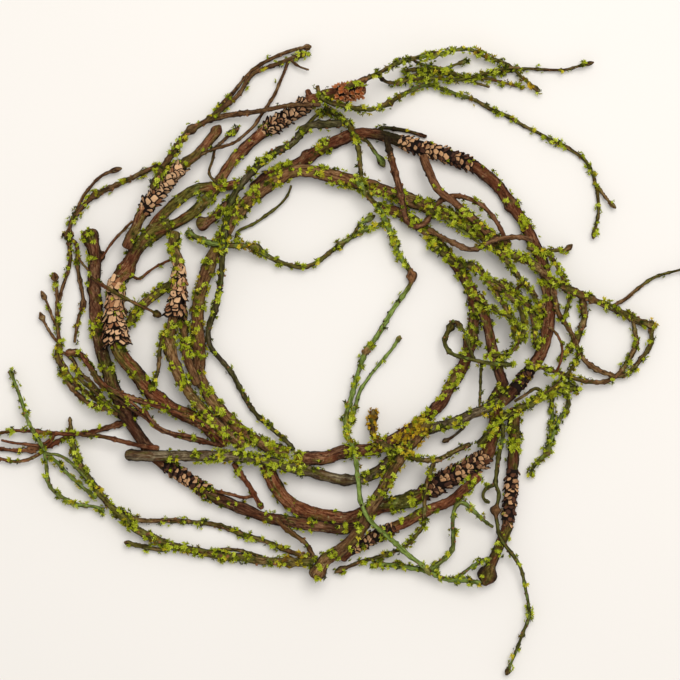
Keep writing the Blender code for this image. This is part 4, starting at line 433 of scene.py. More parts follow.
# Fine twigs of the tangle, each on its own, that lie on the nodes
FINE_TWIGS = [
    ("fine_loop", OLIVE_BARK, [
        stem(1.8, 1.5, [(80, 38), (85.8, 34.2), (94.8, 28.8), (102, 25.2), (106.8, 18), (106.8, 10.8),
             (102, 4.8), (94.8, 3), (86, 2)], moss=1.6, lift=0)]),
    ("fine_right_bend", OLIVE_BARK, [
        stem(1.8, 1.5, [(92, 48), (97.2, 44.4), (105.6, 38.4), (112, 32.4), (115.4, 22.8), (117, 12)],
             moss=2, lift=0)]),
    ("fine_mossy_strand", OLIVE_BARK, [
        stem(2.8, 2.2, [(94, 66), (99.6, 60), (106.8, 50.4), (113, 43.2), (118, 36), (121, 27)], moss=2,
             lift=0)]),
    ("fine_bright_spray", OLIVE_BARK, [
        stem(2, 1.5, [(144, 6), (142.8, 1), (138, -6), (131, -13.2), (124, -19), (116, -25)], moss=3,
             lift=0)]),
    ("fine_dark_bend", BARK, [
        stem(1.6, 1.3, [(125, 20), (129, 17), (132, 12), (133.2, 6), (132, -1.2), (128.4, -9.6)], moss=0.6,
             lift=0)]),
    ("fine_upper_strand", OLIVE_BARK, [
        stem(2.2, 1.6, [(52, 91), (61.2, 85.2), (72, 78), (81.6, 71), (88.8, 66)], moss=2, lift=0)]),
    ("fine_trunk_twig", BARK, [
        stem(2.4, 1.8, [(-122, -24), (-110.4, -27.6), (-96, -32), (-84, -36.5), (-74.4, -43.4), (-66, -49)],
             moss=1.3, lift=0)]),
    ("fine_left_strand", OLIVE_BARK, [
        stem(2.2, 1.8, [(-161, -3.6), (-156, -12), (-148.8, -18), (-141.6, -24), (-133.2, -30),
             (-129, -34)], moss=1.2, lift=0)]),
    ("fine_left_diagonal", BARK, [
        stem(2.2, 1.8, [(-154.8, 2.4), (-148.8, -4.8), (-140.4, -15.6), (-128.4, -22.8), (-117.6, -31.2),
             (-111.6, -37.2)], moss=1, lift=0)]),
    ("fine_left_dark", DARK_BARK, [
        stem(2, 1.6, [(-117, -29), (-110.4, -38.4), (-100.8, -43.4), (-88.8, -45.6), (-76, -50)], moss=0.8,
             lift=0)]),
    ("fine_top_strand", BARK, [
        stem(2.2, 1.6, [(38, 174), (44, 175.3), (60, 174.2), (75.7, 170.8), (89.3, 169.7), (98.4, 167.4),
             (110, 165)], moss=2, lift=0)]),
    ("fine_top_cross", OLIVE_BARK, [
        stem(2, 1.5, [(34, 166), (40, 168.5), (55.3, 169.7), (71.2, 168.5), (84.8, 171.9), (98.4, 175.3),
             (108, 176)], moss=2, lift=0)]),
]


def smooth_route(points):
    """Samples a smooth curve through the points at an even step."""
    marks = np.array(points, dtype=float)
    marks = np.vstack([2 * marks[0] - marks[1], marks, 2 * marks[-1] - marks[-2]])
    dense = []
    for a, b, c, d in zip(marks, marks[1:], marks[2:], marks[3:]):
        for t in np.linspace(0, 1, 12, endpoint=False):
            bend = (2 * a - 5 * b + 4 * c - d) * t ** 2 + (3 * b - a - 3 * c + d) * t ** 3
            dense.append(0.5 * (2 * b + (c - a) * t + bend))
    dense.append(marks[-2])
    dense = np.array(dense)
    along = np.concatenate([[0], np.cumsum(np.linalg.norm(np.diff(dense, axis=0), axis=1))])
    even = np.linspace(0, along[-1], max(4, int(along[-1] / STEP) + 1))
    route = np.column_stack([np.interp(even, along, dense[:, axis]) for axis in (0, 1)])
    for _ in range(2):
        route[1:-1] = 0.25 * route[:-2] + 0.5 * route[1:-1] + 0.25 * route[2:]
    return even, route


def nearest(route, place):
    """The index of the route's sample nearest to a place in plan."""
    return int(np.argmin(np.linalg.norm(route[:, :2] - np.array(place[:2], dtype=float), axis=1)))


def radii_along(spec, along, route, draw):
    """The stem's radius at each sample: a wavering taper with knots, and buds at its ends."""
    share = along / along[-1]
    radius = 0.5 * (spec["wide"] * (1 - share) + spec["tip"] * share)
    shift = draw.uniform(0, 6)
    radius = radius * (1 + 0.05 * np.sin(along / 8 + shift) + 0.035 * np.sin(along / 3.4 + 2 * shift))
    for x, y, size in spec.get("knots", []):
        off = np.abs(along - along[nearest(route, (x, y))]) / max(KNOT_REACH, size)
        bump = np.where(off < 1, 0.5 + 0.5 * np.cos(np.pi * np.minimum(off, 1)), 0)
        radius = np.maximum(radius, radius + (size - radius) * bump)
    for ending, middle in (("bud", along[-1]), ("head", 0.0)):
        if ending in spec:
            size, half = spec[ending]
            off = (np.abs(along - middle) - half) / half
            swell = size * np.sqrt(np.maximum(0.12, 1 - off ** 2))
            radius = np.where(np.abs(off) <= 1, np.where(off < 0, swell, np.maximum(radius, swell)), radius)
    return radius


def flared_radius(width, flare, share):
    """A sleeve's outer radius at a share of its length, which flares towards its end."""
    return 0.5 * (width + (flare - width) * share ** 3)


def upper_hull(x, y):
    """The lowest concave line that stays above the points."""
    kept = []
    for i in range(len(x)):
        while len(kept) > 1:
            a, b = kept[-2], kept[-1]
            if (y[b] - y[a]) * (x[i] - x[a]) > (y[i] - y[a]) * (x[b] - x[a]):
                break
            kept.pop()
        kept.append(i)
    return np.interp(x, x[kept], y[kept])


def drape(along, lowest):
    """Heights of a springy stem that lies over its lowest possible heights and sags between them."""
    reach = int(round(EASE / STEP))
    wide = np.pad(lowest, reach, mode="edge")
    raised = np.array([wide[i:i + 2 * reach + 1].max() for i in range(len(lowest))])
    curve = 0.5 * SAG * along ** 2
    lying = upper_hull(along, raised - curve) + curve
    if len(lying) <= reach:
        return lying
    wide = np.pad(lying, reach, mode="reflect", reflect_type="odd")
    eased = np.array([wide[i:i + 2 * reach + 1].mean() for i in range(len(lying))])
    return np.maximum(eased, lowest)


def lowest_heights(route, radius, placed):
    """The least height of each sample that keeps the stem clear of the floor and of what lies there."""
    lowest = radius + FLOOR_GAP
    if len(placed):
        apart = np.linalg.norm(route[:, None, :2] - placed[None, :, :2], axis=2)
        reach = radius[:, None] + placed[None, :, 3] + GAP
        rise = np.sqrt(np.maximum(0, reach ** 2 - apart ** 2))
        lowest = np.maximum(lowest, np.where(apart < reach, placed[None, :, 2] + rise, 0).max(axis=1))
    return lowest


def lay_wreath():
    """Lays every stem down in order and returns the nodes with their stems' samples."""
    placed = np.zeros((0, 4))
    nodes = []
    for number, (name, finish, specs) in enumerate(WREATH + FINE_TWIGS):
        laid = []
        for order, spec in enumerate(specs):
            draw = random.Random(SEED * 1000 + number * 20 + order)
            along, route = smooth_route(spec["points"])
            radius = radii_along(spec, along, route, draw)
            guard = radius.copy()
            for _, first, last, width, flare, _ in spec.get("sleeves", []):
                a, b = nearest(route, first), nearest(route, last)
                share = np.clip((np.arange(len(route)) - a) / (b - a), 0, 1)
                covered = np.abs(np.arange(len(route)) - 0.5 * (a + b)) <= 0.5 * abs(b - a) + 1
                guard = np.where(covered, np.maximum(guard, flared_radius(width, flare, share)), guard)
            lowest = lowest_heights(route, guard, placed)
            lift = spec.get("lift", TIP_LIFT if number >= FLAT_NODES else 0)
            lowest[-1] = max(lowest[-1], radius[-1] + lift)
            if order == 0:
                lowest[0] = max(lowest[0], radius[0] + lift)
            height = drape(along, lowest)
            if order:
                parent = np.vstack([one["line"] for one in laid])
                root = parent[nearest(parent, route[0])]
                route[0] = root[:2]
                height = height + (root[2] - height[0]) * np.exp(-along / ROOT_REACH) * (root[2] > height[0])
                height[0] = root[2]
            if "foot" in spec:
                at = nearest(route, spec["foot"])
                off = np.minimum(np.abs(along - along[at]) / FOOT_REACH, 1)
                drop = height[at] - radius[at] + FOOT_CUT
                height = height - drop * (0.5 + 0.5 * np.cos(np.pi * off))
            line = np.column_stack([route, height, radius])
            laid.append({"spec": spec, "line": line, "guard": guard})
        for one in laid:
            placed = np.vstack([placed, np.column_stack([one["line"][:, :3], one["guard"]])])
        nodes.append({"name": name, "finish": finish, "stems": laid})
    return nodes


def linear(red, green, blue):
    """A colour as a screen shows it, from 0 to 255, as the light that a shader reads."""
    shares = [channel / 255 for channel in (red, green, blue)]
    return tuple(c / 12.92 if c <= 0.04 else ((c + 0.055) / 1.055) ** 2.4 for c in shares)


def colour_property(name, description, shown):
    """A colour that the panel offers."""
    return bpy.props.FloatVectorProperty(
        name=name, description=description, default=linear(*shown), subtype="COLOR", size=3, min=0.0, max=1.0
    )


def length_property(name, description, millimetres):
    """A length that the panel offers."""
    return bpy.props.FloatProperty(
        name=name, description=description, default=millimetres * MM, unit="LENGTH")


def factor_property(name, description, value, most=1.0):
    """A plain number that the panel offers."""
    return bpy.props.FloatProperty(name=name, description=description, default=value, min=0.0, max=most)


class WreathBarkSettings(bpy.types.PropertyGroup):
    ring_step: length_property("Ring spacing", "Distance between the rings of a stem's skin", 1.0)
    relief: factor_property("Relief", "Depth of ridges and wrinkles as a share of a stem's radius", 0.12)
    knob_spacing: length_property("Knob spacing", "Usual distance between the knobs of a thin twig", 3.4)
    stain: colour_property("Green stain", "Algae on the bark where moss grows", (104, 102, 34))
    sap: colour_property("Young bark", "Green bark of young twigs", (150, 174, 88))
    bud: colour_property("Buds", "Reddish buds and ball tips", (150, 102, 68))


class WreathMossSettings(bpy.types.PropertyGroup):
    density: factor_property("Density", "Moss clumps per square millimetre of mossy bark", 0.19, 1.0)
    leaf: length_property("Leaf length", "Length of a moss leaf", 1.8)
    clump: length_property("Clump height", "Usual height of a clump of moss", 1.3)
    deep: colour_property("Deep green", "Shaded and older moss", (42, 46, 3))
    fresh: colour_property("Fresh green", "Most of the moss", (160, 170, 24))
    # The tips' colour is partly young growth and partly painted highlight
    bright: colour_property("Tips", "Young yellow-green tips", (214, 220, 84))
    ochre: colour_property("Ochre", "Dry yellow moss", (216, 176, 34))


class WreathFlakeSettings(bpy.types.PropertyGroup):
    plate: length_property("Plate length", "Usual length of a bark flake", 4.6)
    thickness: length_property("Plate thickness", "Thickness of a bark flake", 0.35)
    tan: colour_property("Tan", "Face of a pale flake", (212, 170, 128))
    tan_dark: colour_property("Tan shade", "Darker pale flakes", (148, 100, 66))
    brown: colour_property("Brown", "Face of a dark flake", (112, 70, 44))
    rim: colour_property("Rim", "Face of a pale flake among dark ones", (192, 148, 106))
    # Painted shade: the near-black colour of the plate edges and of the core that shows between the plates
    gap: colour_property("Gap", "Dark bark between the flakes", (24, 13, 8))
    red: colour_property("Red", "Reddish curled flakes", (172, 94, 46))


class WreathStageSettings(bpy.types.PropertyGroup):
    floor: colour_property("Floor", "Pale painted floor", (236, 232, 227))
    camera_height: length_property("Camera height", "Height of the camera over the floor", 1400.0)
    view_width: length_property("View width", "Width of the floor that the picture shows", 408.0)
    key_power: factor_property("Key light", "Power of the large light, in watts", 30.0, 500.0)
    sky: factor_property("Surround light", "Strength of the even light from all round", 0.57, 10.0)


class Signal:
    """An output of a material's node, which arithmetic can be written with."""

    def __init__(self, finish, socket):
        self.finish = finish
        self.socket = socket

    def math(self, operation, first, second):
        return self.finish.node("ShaderNodeMath", {"operation": operation}, {0: first, 1: second})

    def __add__(self, other):
        return self.math("ADD", self, other)

    def __radd__(self, other):
        return self.math("ADD", other, self)

    def __sub__(self, other):
        return self.math("SUBTRACT", self, other)

    def __rsub__(self, other):
        return self.math("SUBTRACT", other, self)

    def __mul__(self, other):
        return self.math("MULTIPLY", self, other)

    def __rmul__(self, other):
        return self.math("MULTIPLY", other, self)


class Finish:
    """A material that is being built from nodes."""

    def __init__(self, name):
        self.material = bpy.data.materials.new(name)
        self.material.use_nodes = True
        self.shader = self.material.node_tree.nodes["Principled BSDF"]
        self.shader.inputs["Specular IOR Level"].default_value = GLOSS

    def feed(self, socket, value):
        """Links a signal to a socket, or sets the socket to a value."""
        if isinstance(value, Signal):
            self.material.node_tree.links.new(value.socket, socket)
        else:
            socket.default_value = value

    def node(self, kind, settings, sockets, output=0):
        """Adds a node with its settings, then feeds its sockets, and returns one output."""
        made = self.material.node_tree.nodes.new(kind)
        for key, value in settings.items():
            setattr(made, key, value)
        for key, value in sockets.items():
            self.feed(made.inputs[key], value)
        return Signal(self, made.outputs[output])

    def place(self):
        """Object coordinates, in metres."""
        return self.node("ShaderNodeTexCoord", {}, {}, "Object")

    def value(self, name):
        """A number that the piece's points carry."""
        return self.node("ShaderNodeAttribute", {"attribute_name": name}, {}, "Fac")

    def vector(self, name):
        """A vector that the piece's points carry."""
        return self.node("ShaderNodeAttribute", {"attribute_name": name}, {}, "Vector")

    def noise(self, where, scale, detail=3.0, roughness=0.6):
        """Cloudy noise from 0 to 1."""
        sockets = {"Vector": where, "Scale": scale, "Detail": detail, "Roughness": roughness}
        return self.node("ShaderNodeTexNoise", {}, sockets)

    def rise(self, value, low, high):
        """0 below the low value, 1 above the high one, and a smooth step between."""
        sockets = {"Value": value, "From Min": low, "From Max": high}
        return self.node("ShaderNodeMapRange", {"interpolation_type": "SMOOTHSTEP"}, sockets)

    def mix(self, factor, first, second):
        """A blend of two colours."""
        first = first if isinstance(first, Signal) else (*first, 1.0)
        second = second if isinstance(second, Signal) else (*second, 1.0)
        return self.node("ShaderNodeMix", {"data_type": "RGBA"}, {0: factor, 6: first, 7: second}, 2)

    def finish(self, colour, roughness, height, depth):
        """Feeds the shader and returns the material. The height gives a bump of a depth in metres."""
        sockets = {"Height": height, "Distance": depth, "Strength": 1.0}
        bump = self.node("ShaderNodeBump", {}, sockets, "Normal")
        self.feed(self.shader.inputs["Base Color"], colour)
        self.feed(self.shader.inputs["Roughness"], roughness)
        self.feed(self.shader.inputs["Normal"], bump)
        return self.material


# Bark tones per slot: crack, face and worn ridge, as a screen shows them
BARK_TONES = {
    BARK: ((18, 8, 3), (106, 56, 31), (164, 116, 80)),
    DARK_BARK: ((14, 7, 3), (88, 50, 30), (160, 118, 84)),
    OLIVE_BARK: ((16, 9, 3), (98, 66, 36), (170, 140, 92)),
    GREY_BARK: ((24, 18, 10), (102, 84, 60), (172, 156, 122)),
}

# Further tones, as a screen shows them
WARM_STREAK = (112, 56, 32)
ALGAE_SHADE = (40, 42, 8)
YOUNG_SHADE = (78, 96, 32)
LICHEN = (170, 166, 116)
BUD_SHADE = (64, 34, 18)
WITHERED_SHADE = (128, 92, 20)
FLAKE_FLECK = (120, 78, 50)
BROWN_SHADE = (70, 44, 32)
RED_SHADE = (70, 34, 16)
KNOB_SHADE = (40, 24, 12)
KNOB = (134, 92, 58)


def bark_finish(slot, settings):
    """Fibrous bark: cracks and worn ridges along the stem, green stains, lichen specks, reddish buds and
    painted shade on the stems' sides and undersides.
    """
    made = Finish(slot + "_finish")
    crack, face, ridge = [linear(*shown) for shown in BARK_TONES[slot]]
    grain = made.vector("grain")
    place = made.place()
    fibres = made.noise(grain, 0.9, 4.0, 0.65)
    fine = made.noise(grain, 3.2, 3.0, 0.7)
    streak = made.noise(grain, 0.33, 2.0, 0.5)
    blotch = made.noise(place, 70.0, 3.0)
    worn = fibres * 0.65 + fine * 0.35
    base = made.mix(made.rise(worn, 0.32, 0.54), crack, face)
    base = made.mix(made.rise(worn + blotch * 0.3, 0.6, 0.84), base, ridge)
    warm = made.mix(made.rise(streak, 0.5, 0.62) * 0.5, base, linear(*WARM_STREAK))
    warm = made.mix(made.rise(made.noise(place, 32.0, 2.0), 0.5, 0.62) * 0.45, warm, crack)
    stained = made.rise(made.value("wash") + 1.6 * streak + 0.5 * blotch, 1.15, 1.6)
    algae = made.mix(made.rise(worn, 0.4, 0.62), linear(*ALGAE_SHADE), tuple(settings.stain))
    green = made.mix(stained * 0.85, warm, algae)
    young = made.mix(made.rise(worn, 0.38, 0.64), linear(*YOUNG_SHADE), tuple(settings.sap))
    green = made.mix(made.rise(made.value("wash") + 0.3 * blotch, 0.75, 1.2) * 0.8, green, young)
    specks = made.rise(made.noise(place, 620.0, 2.0, 0.5), 0.62, 0.7)
    lichen = made.mix(specks * made.rise(blotch, 0.45, 0.6) * 0.6, green, linear(*LICHEN))
    ripe = made.mix(made.rise(worn, 0.36, 0.62), linear(*BUD_SHADE), tuple(settings.bud))
    colour = made.mix(made.value("bud") * 0.9, lichen, ripe)
    # Painted shade on the sides and undersides of the stems, together with the darker bark colour of some
    # places, nodes and thin twigs
    colour = made.mix(made.rise(made.value("shade_and_dark_bark"), 0.0, 1.0) * (1.0 - 0.3 * fine), colour, crack)
    roughness = 0.95 - 0.4 * made.rise(worn, 0.45, 0.7)
    return made.finish(colour, roughness, fibres + 0.5 * fine, 0.6 * MM)


def moss_finish(settings):
    """Leafy moss: darker at the root of each leaf as painted shade, yellow-green at the tips and on a clump's
    higher rosettes, partly young growth and partly painted highlight, and ochre where it is dry.
    """
    made = Finish("moss_finish")
    tint = made.value("tint")
    blotch = made.noise(made.place(), 55.0, 2.0)
    # Painted light: the tint brightens the higher rosettes of a clump, on top of random tone
    lit = made.rise(tint + 0.5 * blotch, 0.35, 0.85)
    fresh = made.mix(lit, tuple(settings.deep), tuple(settings.fresh))
    # Leaf tips and a clump's top rosettes turn yellow-green, partly young growth and partly painted
    # highlight; leaf roots stay darker as painted shade
    tips = made.rise(made.value("reach") * 0.6 + 0.9 * tint, 0.8, 1.35)
    bright = made.mix(tips, fresh, tuple(settings.bright))
    # Dry moss also brightens with the tint's painted light
    withered = made.mix(made.rise(tint, 0.3, 0.8), linear(*WITHERED_SHADE), tuple(settings.ochre))
    colour = made.mix(made.value("dry"), bright, withered)
    grit = made.noise(made.place(), 1500.0, 2.0)
    return made.finish(colour, 0.8 + 0.2 * grit, grit, 0.15 * MM)


def flake_finish(slot, settings):
    """Bark flakes: fibrous faces, pale plates among dark ones, painted shade on the plate edges and on the
    core showing between the plates, and paler rims on the reddish curled flakes.
    """
    made = Finish(slot + "_finish")
    tint = made.value("tint")
    rim = made.value("rim")
    grit = made.noise(made.place(), 900.0, 3.0, 0.7)
    if slot == FLAKES:
        pale = made.rise(tint * 0.8 + grit * 0.5, 0.35, 0.95)
        face = made.mix(pale, tuple(settings.tan_dark), tuple(settings.tan))
        colour = made.mix(made.rise(grit, 0.56, 0.7) * 0.5, face, linear(*FLAKE_FLECK))
        # Painted shade: dark plate edges, wider where the plates stand loose
        outline = rim - 0.3 * grit + 0.62 * made.value("edge_shade")
        colour = made.mix(made.rise(outline, 0.5, 0.75), colour, tuple(settings.gap))
    elif slot == DARK_FLAKES:
        face = made.mix(made.rise(tint + grit * 0.5, 0.35, 0.9), linear(*BROWN_SHADE), tuple(settings.brown))
        pale = made.rise(tint + 0.5 * grit, 0.65, 0.95)
        colour = made.mix(pale, face, tuple(settings.rim))
        # Painted shade: dark plate edges
        colour = made.mix(made.rise(rim - 0.3 * grit, 0.35, 0.6), colour, tuple(settings.gap))
    else:
        face = made.mix(made.rise(tint + grit * 0.5, 0.4, 1.1), linear(*RED_SHADE), tuple(settings.red))
        colour = made.mix(made.rise(rim + tint * 0.5, 0.9, 1.4) * 0.6, face, tuple(settings.rim))
    # Painted shade: the core between the plates is near black
    colour = made.mix(made.value("core"), colour, tuple(settings.gap))
    return made.finish(colour, 0.75 + 0.2 * grit, grit, 0.25 * MM)


def knob_finish():
    """Small dry knobs and bud scales on thin twigs."""
    made = Finish("knob_finish")
    grit = made.noise(made.place(), 700.0, 3.0, 0.7)
    lit = made.rise(made.value("tint") + 0.5 * grit, 0.3, 1.1)
    base = made.mix(lit, linear(*KNOB_SHADE), linear(*KNOB))
    return made.finish(base, 0.75 + 0.2 * grit, grit, 0.2 * MM)


def smooth_step(value, low, high):
    """0 below the low value, 1 above the high one, and a smooth step between."""
    share = np.clip((value - low) / (high - low), 0, 1)
    return share * share * (3 - 2 * share)


def patches(along, phase):
    """Waves of several lengths along a stem, from 0 to 1, which put moss in patches."""
    waves = [np.sin(along * 2 * math.pi / length + phase * (place + 1) * 1.7)
             for place, length in enumerate((6.5, 13.0, 31.0))]
    return 0.5 + 0.5 * (0.8 * waves[0] + waves[1] + 1.2 * waves[2]) / 3


# Places in plan with more moss (or less, below zero): x, y, reach, amount
MOSS_PLACES = [
    (-50, 68, 12, 1.2), (-40, -58, 14, 1.2), (13, 104, 12, 1.0), (20, 84, 18, 1.0), (90, 45, 35, 0.6),
    (60, 70, 22, 0.6), (-160, 85, 14, 0.8), (110, -25, 30, 0.4), (60, 183, 18, 0.6), (-68, 95, 16, 1.2),
    (80, 175, 24, 1.3), (98, 174, 14, 0.6), (-196, -44, 12, 1.0), (-150, -40, 16, 0.7), (-150, 10, 22, 0.5),
    (-66, 60, 20, 0.5), (40, 136, 14, -0.6), (-108, 80, 7, 1.2), (-92, 18, 8, 1.4), (98, 109, 8, 1.8),
    (108, 98, 8, 1.8), (117, 82, 8, 1.8), (126, 63, 8, 1.5), (131, 47, 6, 0.9), (-128, 38, 9, 1.0),
    (77, 87, 8, 1.8), (87, 77, 8, 1.4), (66, 82, 14, 1.0), (-48, 116, 12, 1.2), (-10, 128, 9, 1.2),
    (-32, 116, 8, 1.0), (2, 144, 8, 1.0), (36, -48, 12, 1.4), (52, -34, 10, 1.0), (28, -74, 9, 0.8),
    (0, -70, 17, -1.5), (6, -38, 9, 1.2), (-33, -96, 7, 1.2), (-62, -88, 6, 0.8), (-122, -57, 15, -2.4),
    (-122, 0, 9, 0.6), (130, -22, 11, 1.0), (24, -8, 14, 1.1), (35, 28, 12, 0.8), (10, 70, 12, 1.0),
    (30, 10, 10, 0.5), (110, -128, 14, 0.8), (114, -155, 14, 1.3), (104, -178, 14, 1.3),
    (-45, -30, 14, 1.2), (-62, -5, 10, 0.8), (-80, 42, 10, 1.0), (33, 70, 12, 1.5), (20, 92, 9, 0.8),
    (101, -43, 8, 1.4), (105, -54, 8, 0.9), (97, -112, 8, 0.7), (131, -38, 12, 1.3), (126, -52, 9, 1.2),
    (118, -64, 8, 1.4), (112, 4, 14, 0.8), (104, -14, 10, 0.8), (6, -50, 11, 1.6), (9, -34, 8, 1.2),
    (79, -73, 6, 1.3), (38, -86, 8, 1.1), (-27, -58, 6, 1.6), (-50, -54, 12, 0.8), (13, 2, 8, 0.6),
    (9, -62, 8, 1.3), (-57, 67, 7, 1.2), (26, -112, 8, 0.8),
]

# Places in plan where moss is dry and ochre: x, y, reach, share
DRY_PLACES = [
    (20, -35, 9, 1.2), (84, 184, 9, 0.3), (42, -44, 13, 0.7), (95, -90, 6, 0.6), (30, -75, 9, 0.4),
    (-28, -120, 8, 0.5), (115, 166, 7, 0.5), (188, 22, 5, 0.5), (-57, 67, 6, 0.5),
]
DRY_USUAL = 0.16

# Places in plan where the bark is nearly black: x, y, reach, share
BLACK_PLACES = [
    (31, 131, 7, 1.7), (108, -14, 7, 0.6), (-117, -10, 5, 0.4), (88, -129, 8, 0.1), (-74, 137, 7, 0.35),
]

# How reddish the buds at the ends of thin twigs are, by finish
RIPE = {BARK: 0.45, DARK_BARK: 0.3, OLIVE_BARK: 0.1, GREY_BARK: 0.2}

# Green wash on bark, from 0 to 1: what is usual for a finish, and what differs on some nodes
WASH = {
    BARK: 0.0, DARK_BARK: -0.05, OLIVE_BARK: 0.12, GREY_BARK: 0.1, "trunk_left": 0.15, "stub_left": 0.25,
    "hole_twig": 1.05, "inner_vine_left": 0.05, "inner_left_third": 0.05, "left_green_spray": 0.8,
    "long_mossy_twig": 0.4, "bottom_right_spray": 0.8, "ochre_twig": 0.3, "top_middle_spray": 0.4,
    "long_arch_spray": 0.35, "top_right_spray": 0.3, "green_spray": 0.4, "inner_left_twigs": 0.3,
    "hole_top_spray": 0.5, "curled_tendril": 0.7, "lichen_stem": 0.45, "inner_right_spray": 0.7,
    "ball_twig": 0.4, "second_strand": -0.1, "bottom_vine": 0.08, "right_lower_vine": 0.3,
    "outer_left_vine": 0.05,
}

# How reddish the bark of some nodes is
RUDDY = {
    "tan_branch": 0.75, "second_strand": 0.85, "dark_strand": 0.35, "stub_left": 0.2,
    "inner_vine_left": 0.42, "inner_left_third": 0.42, "inner_left_second": 0.22,
    "lower_diagonal_vine": 0.2, "upper_left_spray": 0.3, "left_outer_spray": 0.3, "far_left_sprig": 0.25,
}

# How much darker the bark of thin twigs and of some nodes is
THIN_SHADE = 0.24
SHADE = {
    "right_arch_vine": 0.42, "right_second_vine": 0.3, "outer_left_vine": 0.3, "curled_tendril": 0.2,
    "hole_twig": -0.2, "lichen_stem": 0.3, "bottom_cross_vine": 0.35, "inner_right_spray": 0.1,
    "right_lower_vine": 0.25, "left_green_spray": -0.1, "second_strand": 0.3, "upper_left_spray": 0.18,
    "left_outer_spray": 0.15,
}

# Places in plan with more green wash (or less, below zero): x, y, reach, amount
WASH_PLACES = [
    (-92, 98, 20, 0.5), (-66, 106, 14, -0.1), (-112, 72, 10, 0.3), (-134, -12, 18, 0.4),
    (-108, -27, 20, -0.4), (43.6, 49.8, 8, -0.6), (-90, -25, 18, 0.3), (80, 80, 16, 0.3),
    (33, 70, 12, -0.6), (18, 96, 10, -0.6), (23, 121, 6, 0.8), (18, 84, 6, 0.6), (131, -45, 14, 0.4),
    (60, 176, 24, 0.35), (34, 139, 12, 0.7), (-84, 60, 18, 0.3), (56, 78, 20, 0.3), (7, -42, 16, -0.45),
    (38, -86, 10, 0.6), (190, 48, 20, 0.5), (-20, -62, 10, 0.2),
]


def near_places(spots, x, y):
    """The sum of the places' amounts at a point in plan, fading over each place's reach."""
    total = np.zeros_like(x)
    for left, up, reach, amount in spots:
        total = total + amount * np.exp(-((x - left) ** 2 + (y - up) ** 2) / reach ** 2)
    return total


def moss_cover(spec, along, points, upward, radius, phase):
    """How mossy the bark is, from 0 to 1: in ragged patches, and on thick vines mostly along their sides."""
    amount = spec.get("moss", 0) + near_places(MOSS_PLACES, points[:, :, 0], points[:, :, 1])
    ragged = [noise.noise(Vector(point) * 0.17) + 0.6 * noise.noise(Vector(point) * 0.45)
              for point in points.reshape(-1, 3)]
    level = 0.6 * patches(along, phase) + 0.75 * np.array(ragged).reshape(upward.shape) + 0.2
    gate = smooth_step(level + 0.34 * amount, 0.87, 1.12)
    lean = np.clip((radius - 1.6) / 2.0, 0, 1)
    top = 0.8 * np.clip(1.3 - amount, 0, 1) * smooth_step(upward, 0.45, 0.9)
    side = 1 - lean * (1 - smooth_step(upward, -0.5, 0.3) * (1 - top))
    return gate * side


def fine_line(line, step):
    """The stem's samples at a fine step, with rounded ends."""
    along = np.concatenate([[0], np.cumsum(np.linalg.norm(np.diff(line[:, :3], axis=0), axis=1))])
    even = np.linspace(0, along[-1], max(4, int(along[-1] / step) + 1))
    fine = np.column_stack([np.interp(even, along, line[:, axis]) for axis in range(4)])
    fine[1:-1, :3] = 0.25 * fine[:-2, :3] + 0.5 * fine[1:-1, :3] + 0.25 * fine[2:, :3]
    caps = []
    for edge, inner in ((fine[0], fine[1]), (fine[-1], fine[-2])):
        outward = (edge[:3] - inner[:3]) / np.linalg.norm(edge[:3] - inner[:3])
        rings = [np.append(edge[:3] + outward * edge[3] * out, edge[3] * size)
                 for out, size in ((0.22, 0.9), (0.42, 0.6), (0.48, 0.15))]
        caps.append(np.array(rings))
    fine = np.vstack([caps[0][::-1], fine, caps[1]])
    along = np.concatenate([[0], np.cumsum(np.linalg.norm(np.diff(fine[:, :3], axis=0), axis=1))])
    return along, fine


def tube_mesh(line, sides):
    """An open tube along a line of (x, y, z, radius). Its points come ring by ring from the start."""
    curve = bpy.data.curves.new("route", "CURVE")
    curve.dimensions = "3D"
    curve.bevel_depth = MM
    curve.bevel_resolution = (sides - 4) // 2
    spline = curve.splines.new("POLY")
    spline.points.add(len(line) - 1)
    for point, (x, y, z, radius) in zip(spline.points, line):
        point.co = (x * MM, y * MM, z * MM, 1)
        point.radius = radius
    drawn = bpy.data.objects.new("route", curve)
    bpy.context.scene.collection.objects.link(drawn)
    bpy.context.view_layer.update()
    mesh = bpy.data.meshes.new_from_object(drawn.evaluated_get(bpy.context.evaluated_depsgraph_get()))
    bpy.data.objects.remove(drawn)
    bpy.data.curves.remove(curve)
    return mesh


def bark_relief(points, grain, run, turn, phase):
    """Ridges, wrinkles, roughness and lumps of a stem's bark, as shares of the relief's depth."""
    ridges = 0.45 * np.cos(3 * turn + run / 15 + phase[0]) + 0.3 * np.cos(5 * turn - run / 11 + phase[1])
    wrinkles = np.sin(run * 2.9 + 1.3 * np.sin(turn + phase[2])) * patches(run, phase[3])
    rough = [noise.noise(Vector(mark) * 0.9) + 0.5 * noise.noise(Vector(mark) * 2.3)
             for mark in grain.reshape(-1, 3)]
    lumps = [noise.noise(Vector(mark) * 0.19) for mark in points.reshape(-1, 3)]
    rough, lumps = [np.array(values).reshape(points.shape[:2]) for values in (rough, lumps)]
    return ridges + 0.3 * wrinkles + 1.1 * rough + 1.2 * lumps


def joint_swell(run, thin, draw):
    """Swollen joints along a stem, closer together and stronger on a thin one."""
    joint = np.zeros_like(run)
    at = draw.uniform(2, 9)
    while at < run[-1, 0] - 2:
        height = draw.uniform(0.3, 1.0)
        joint = np.maximum(joint, height * np.exp(-((run - at) / draw.uniform(0.7, 1.3)) ** 2))
        at += draw.uniform(4, 10) * (1 if thin else 3)
    return (0.5 if thin else 0.12) * joint


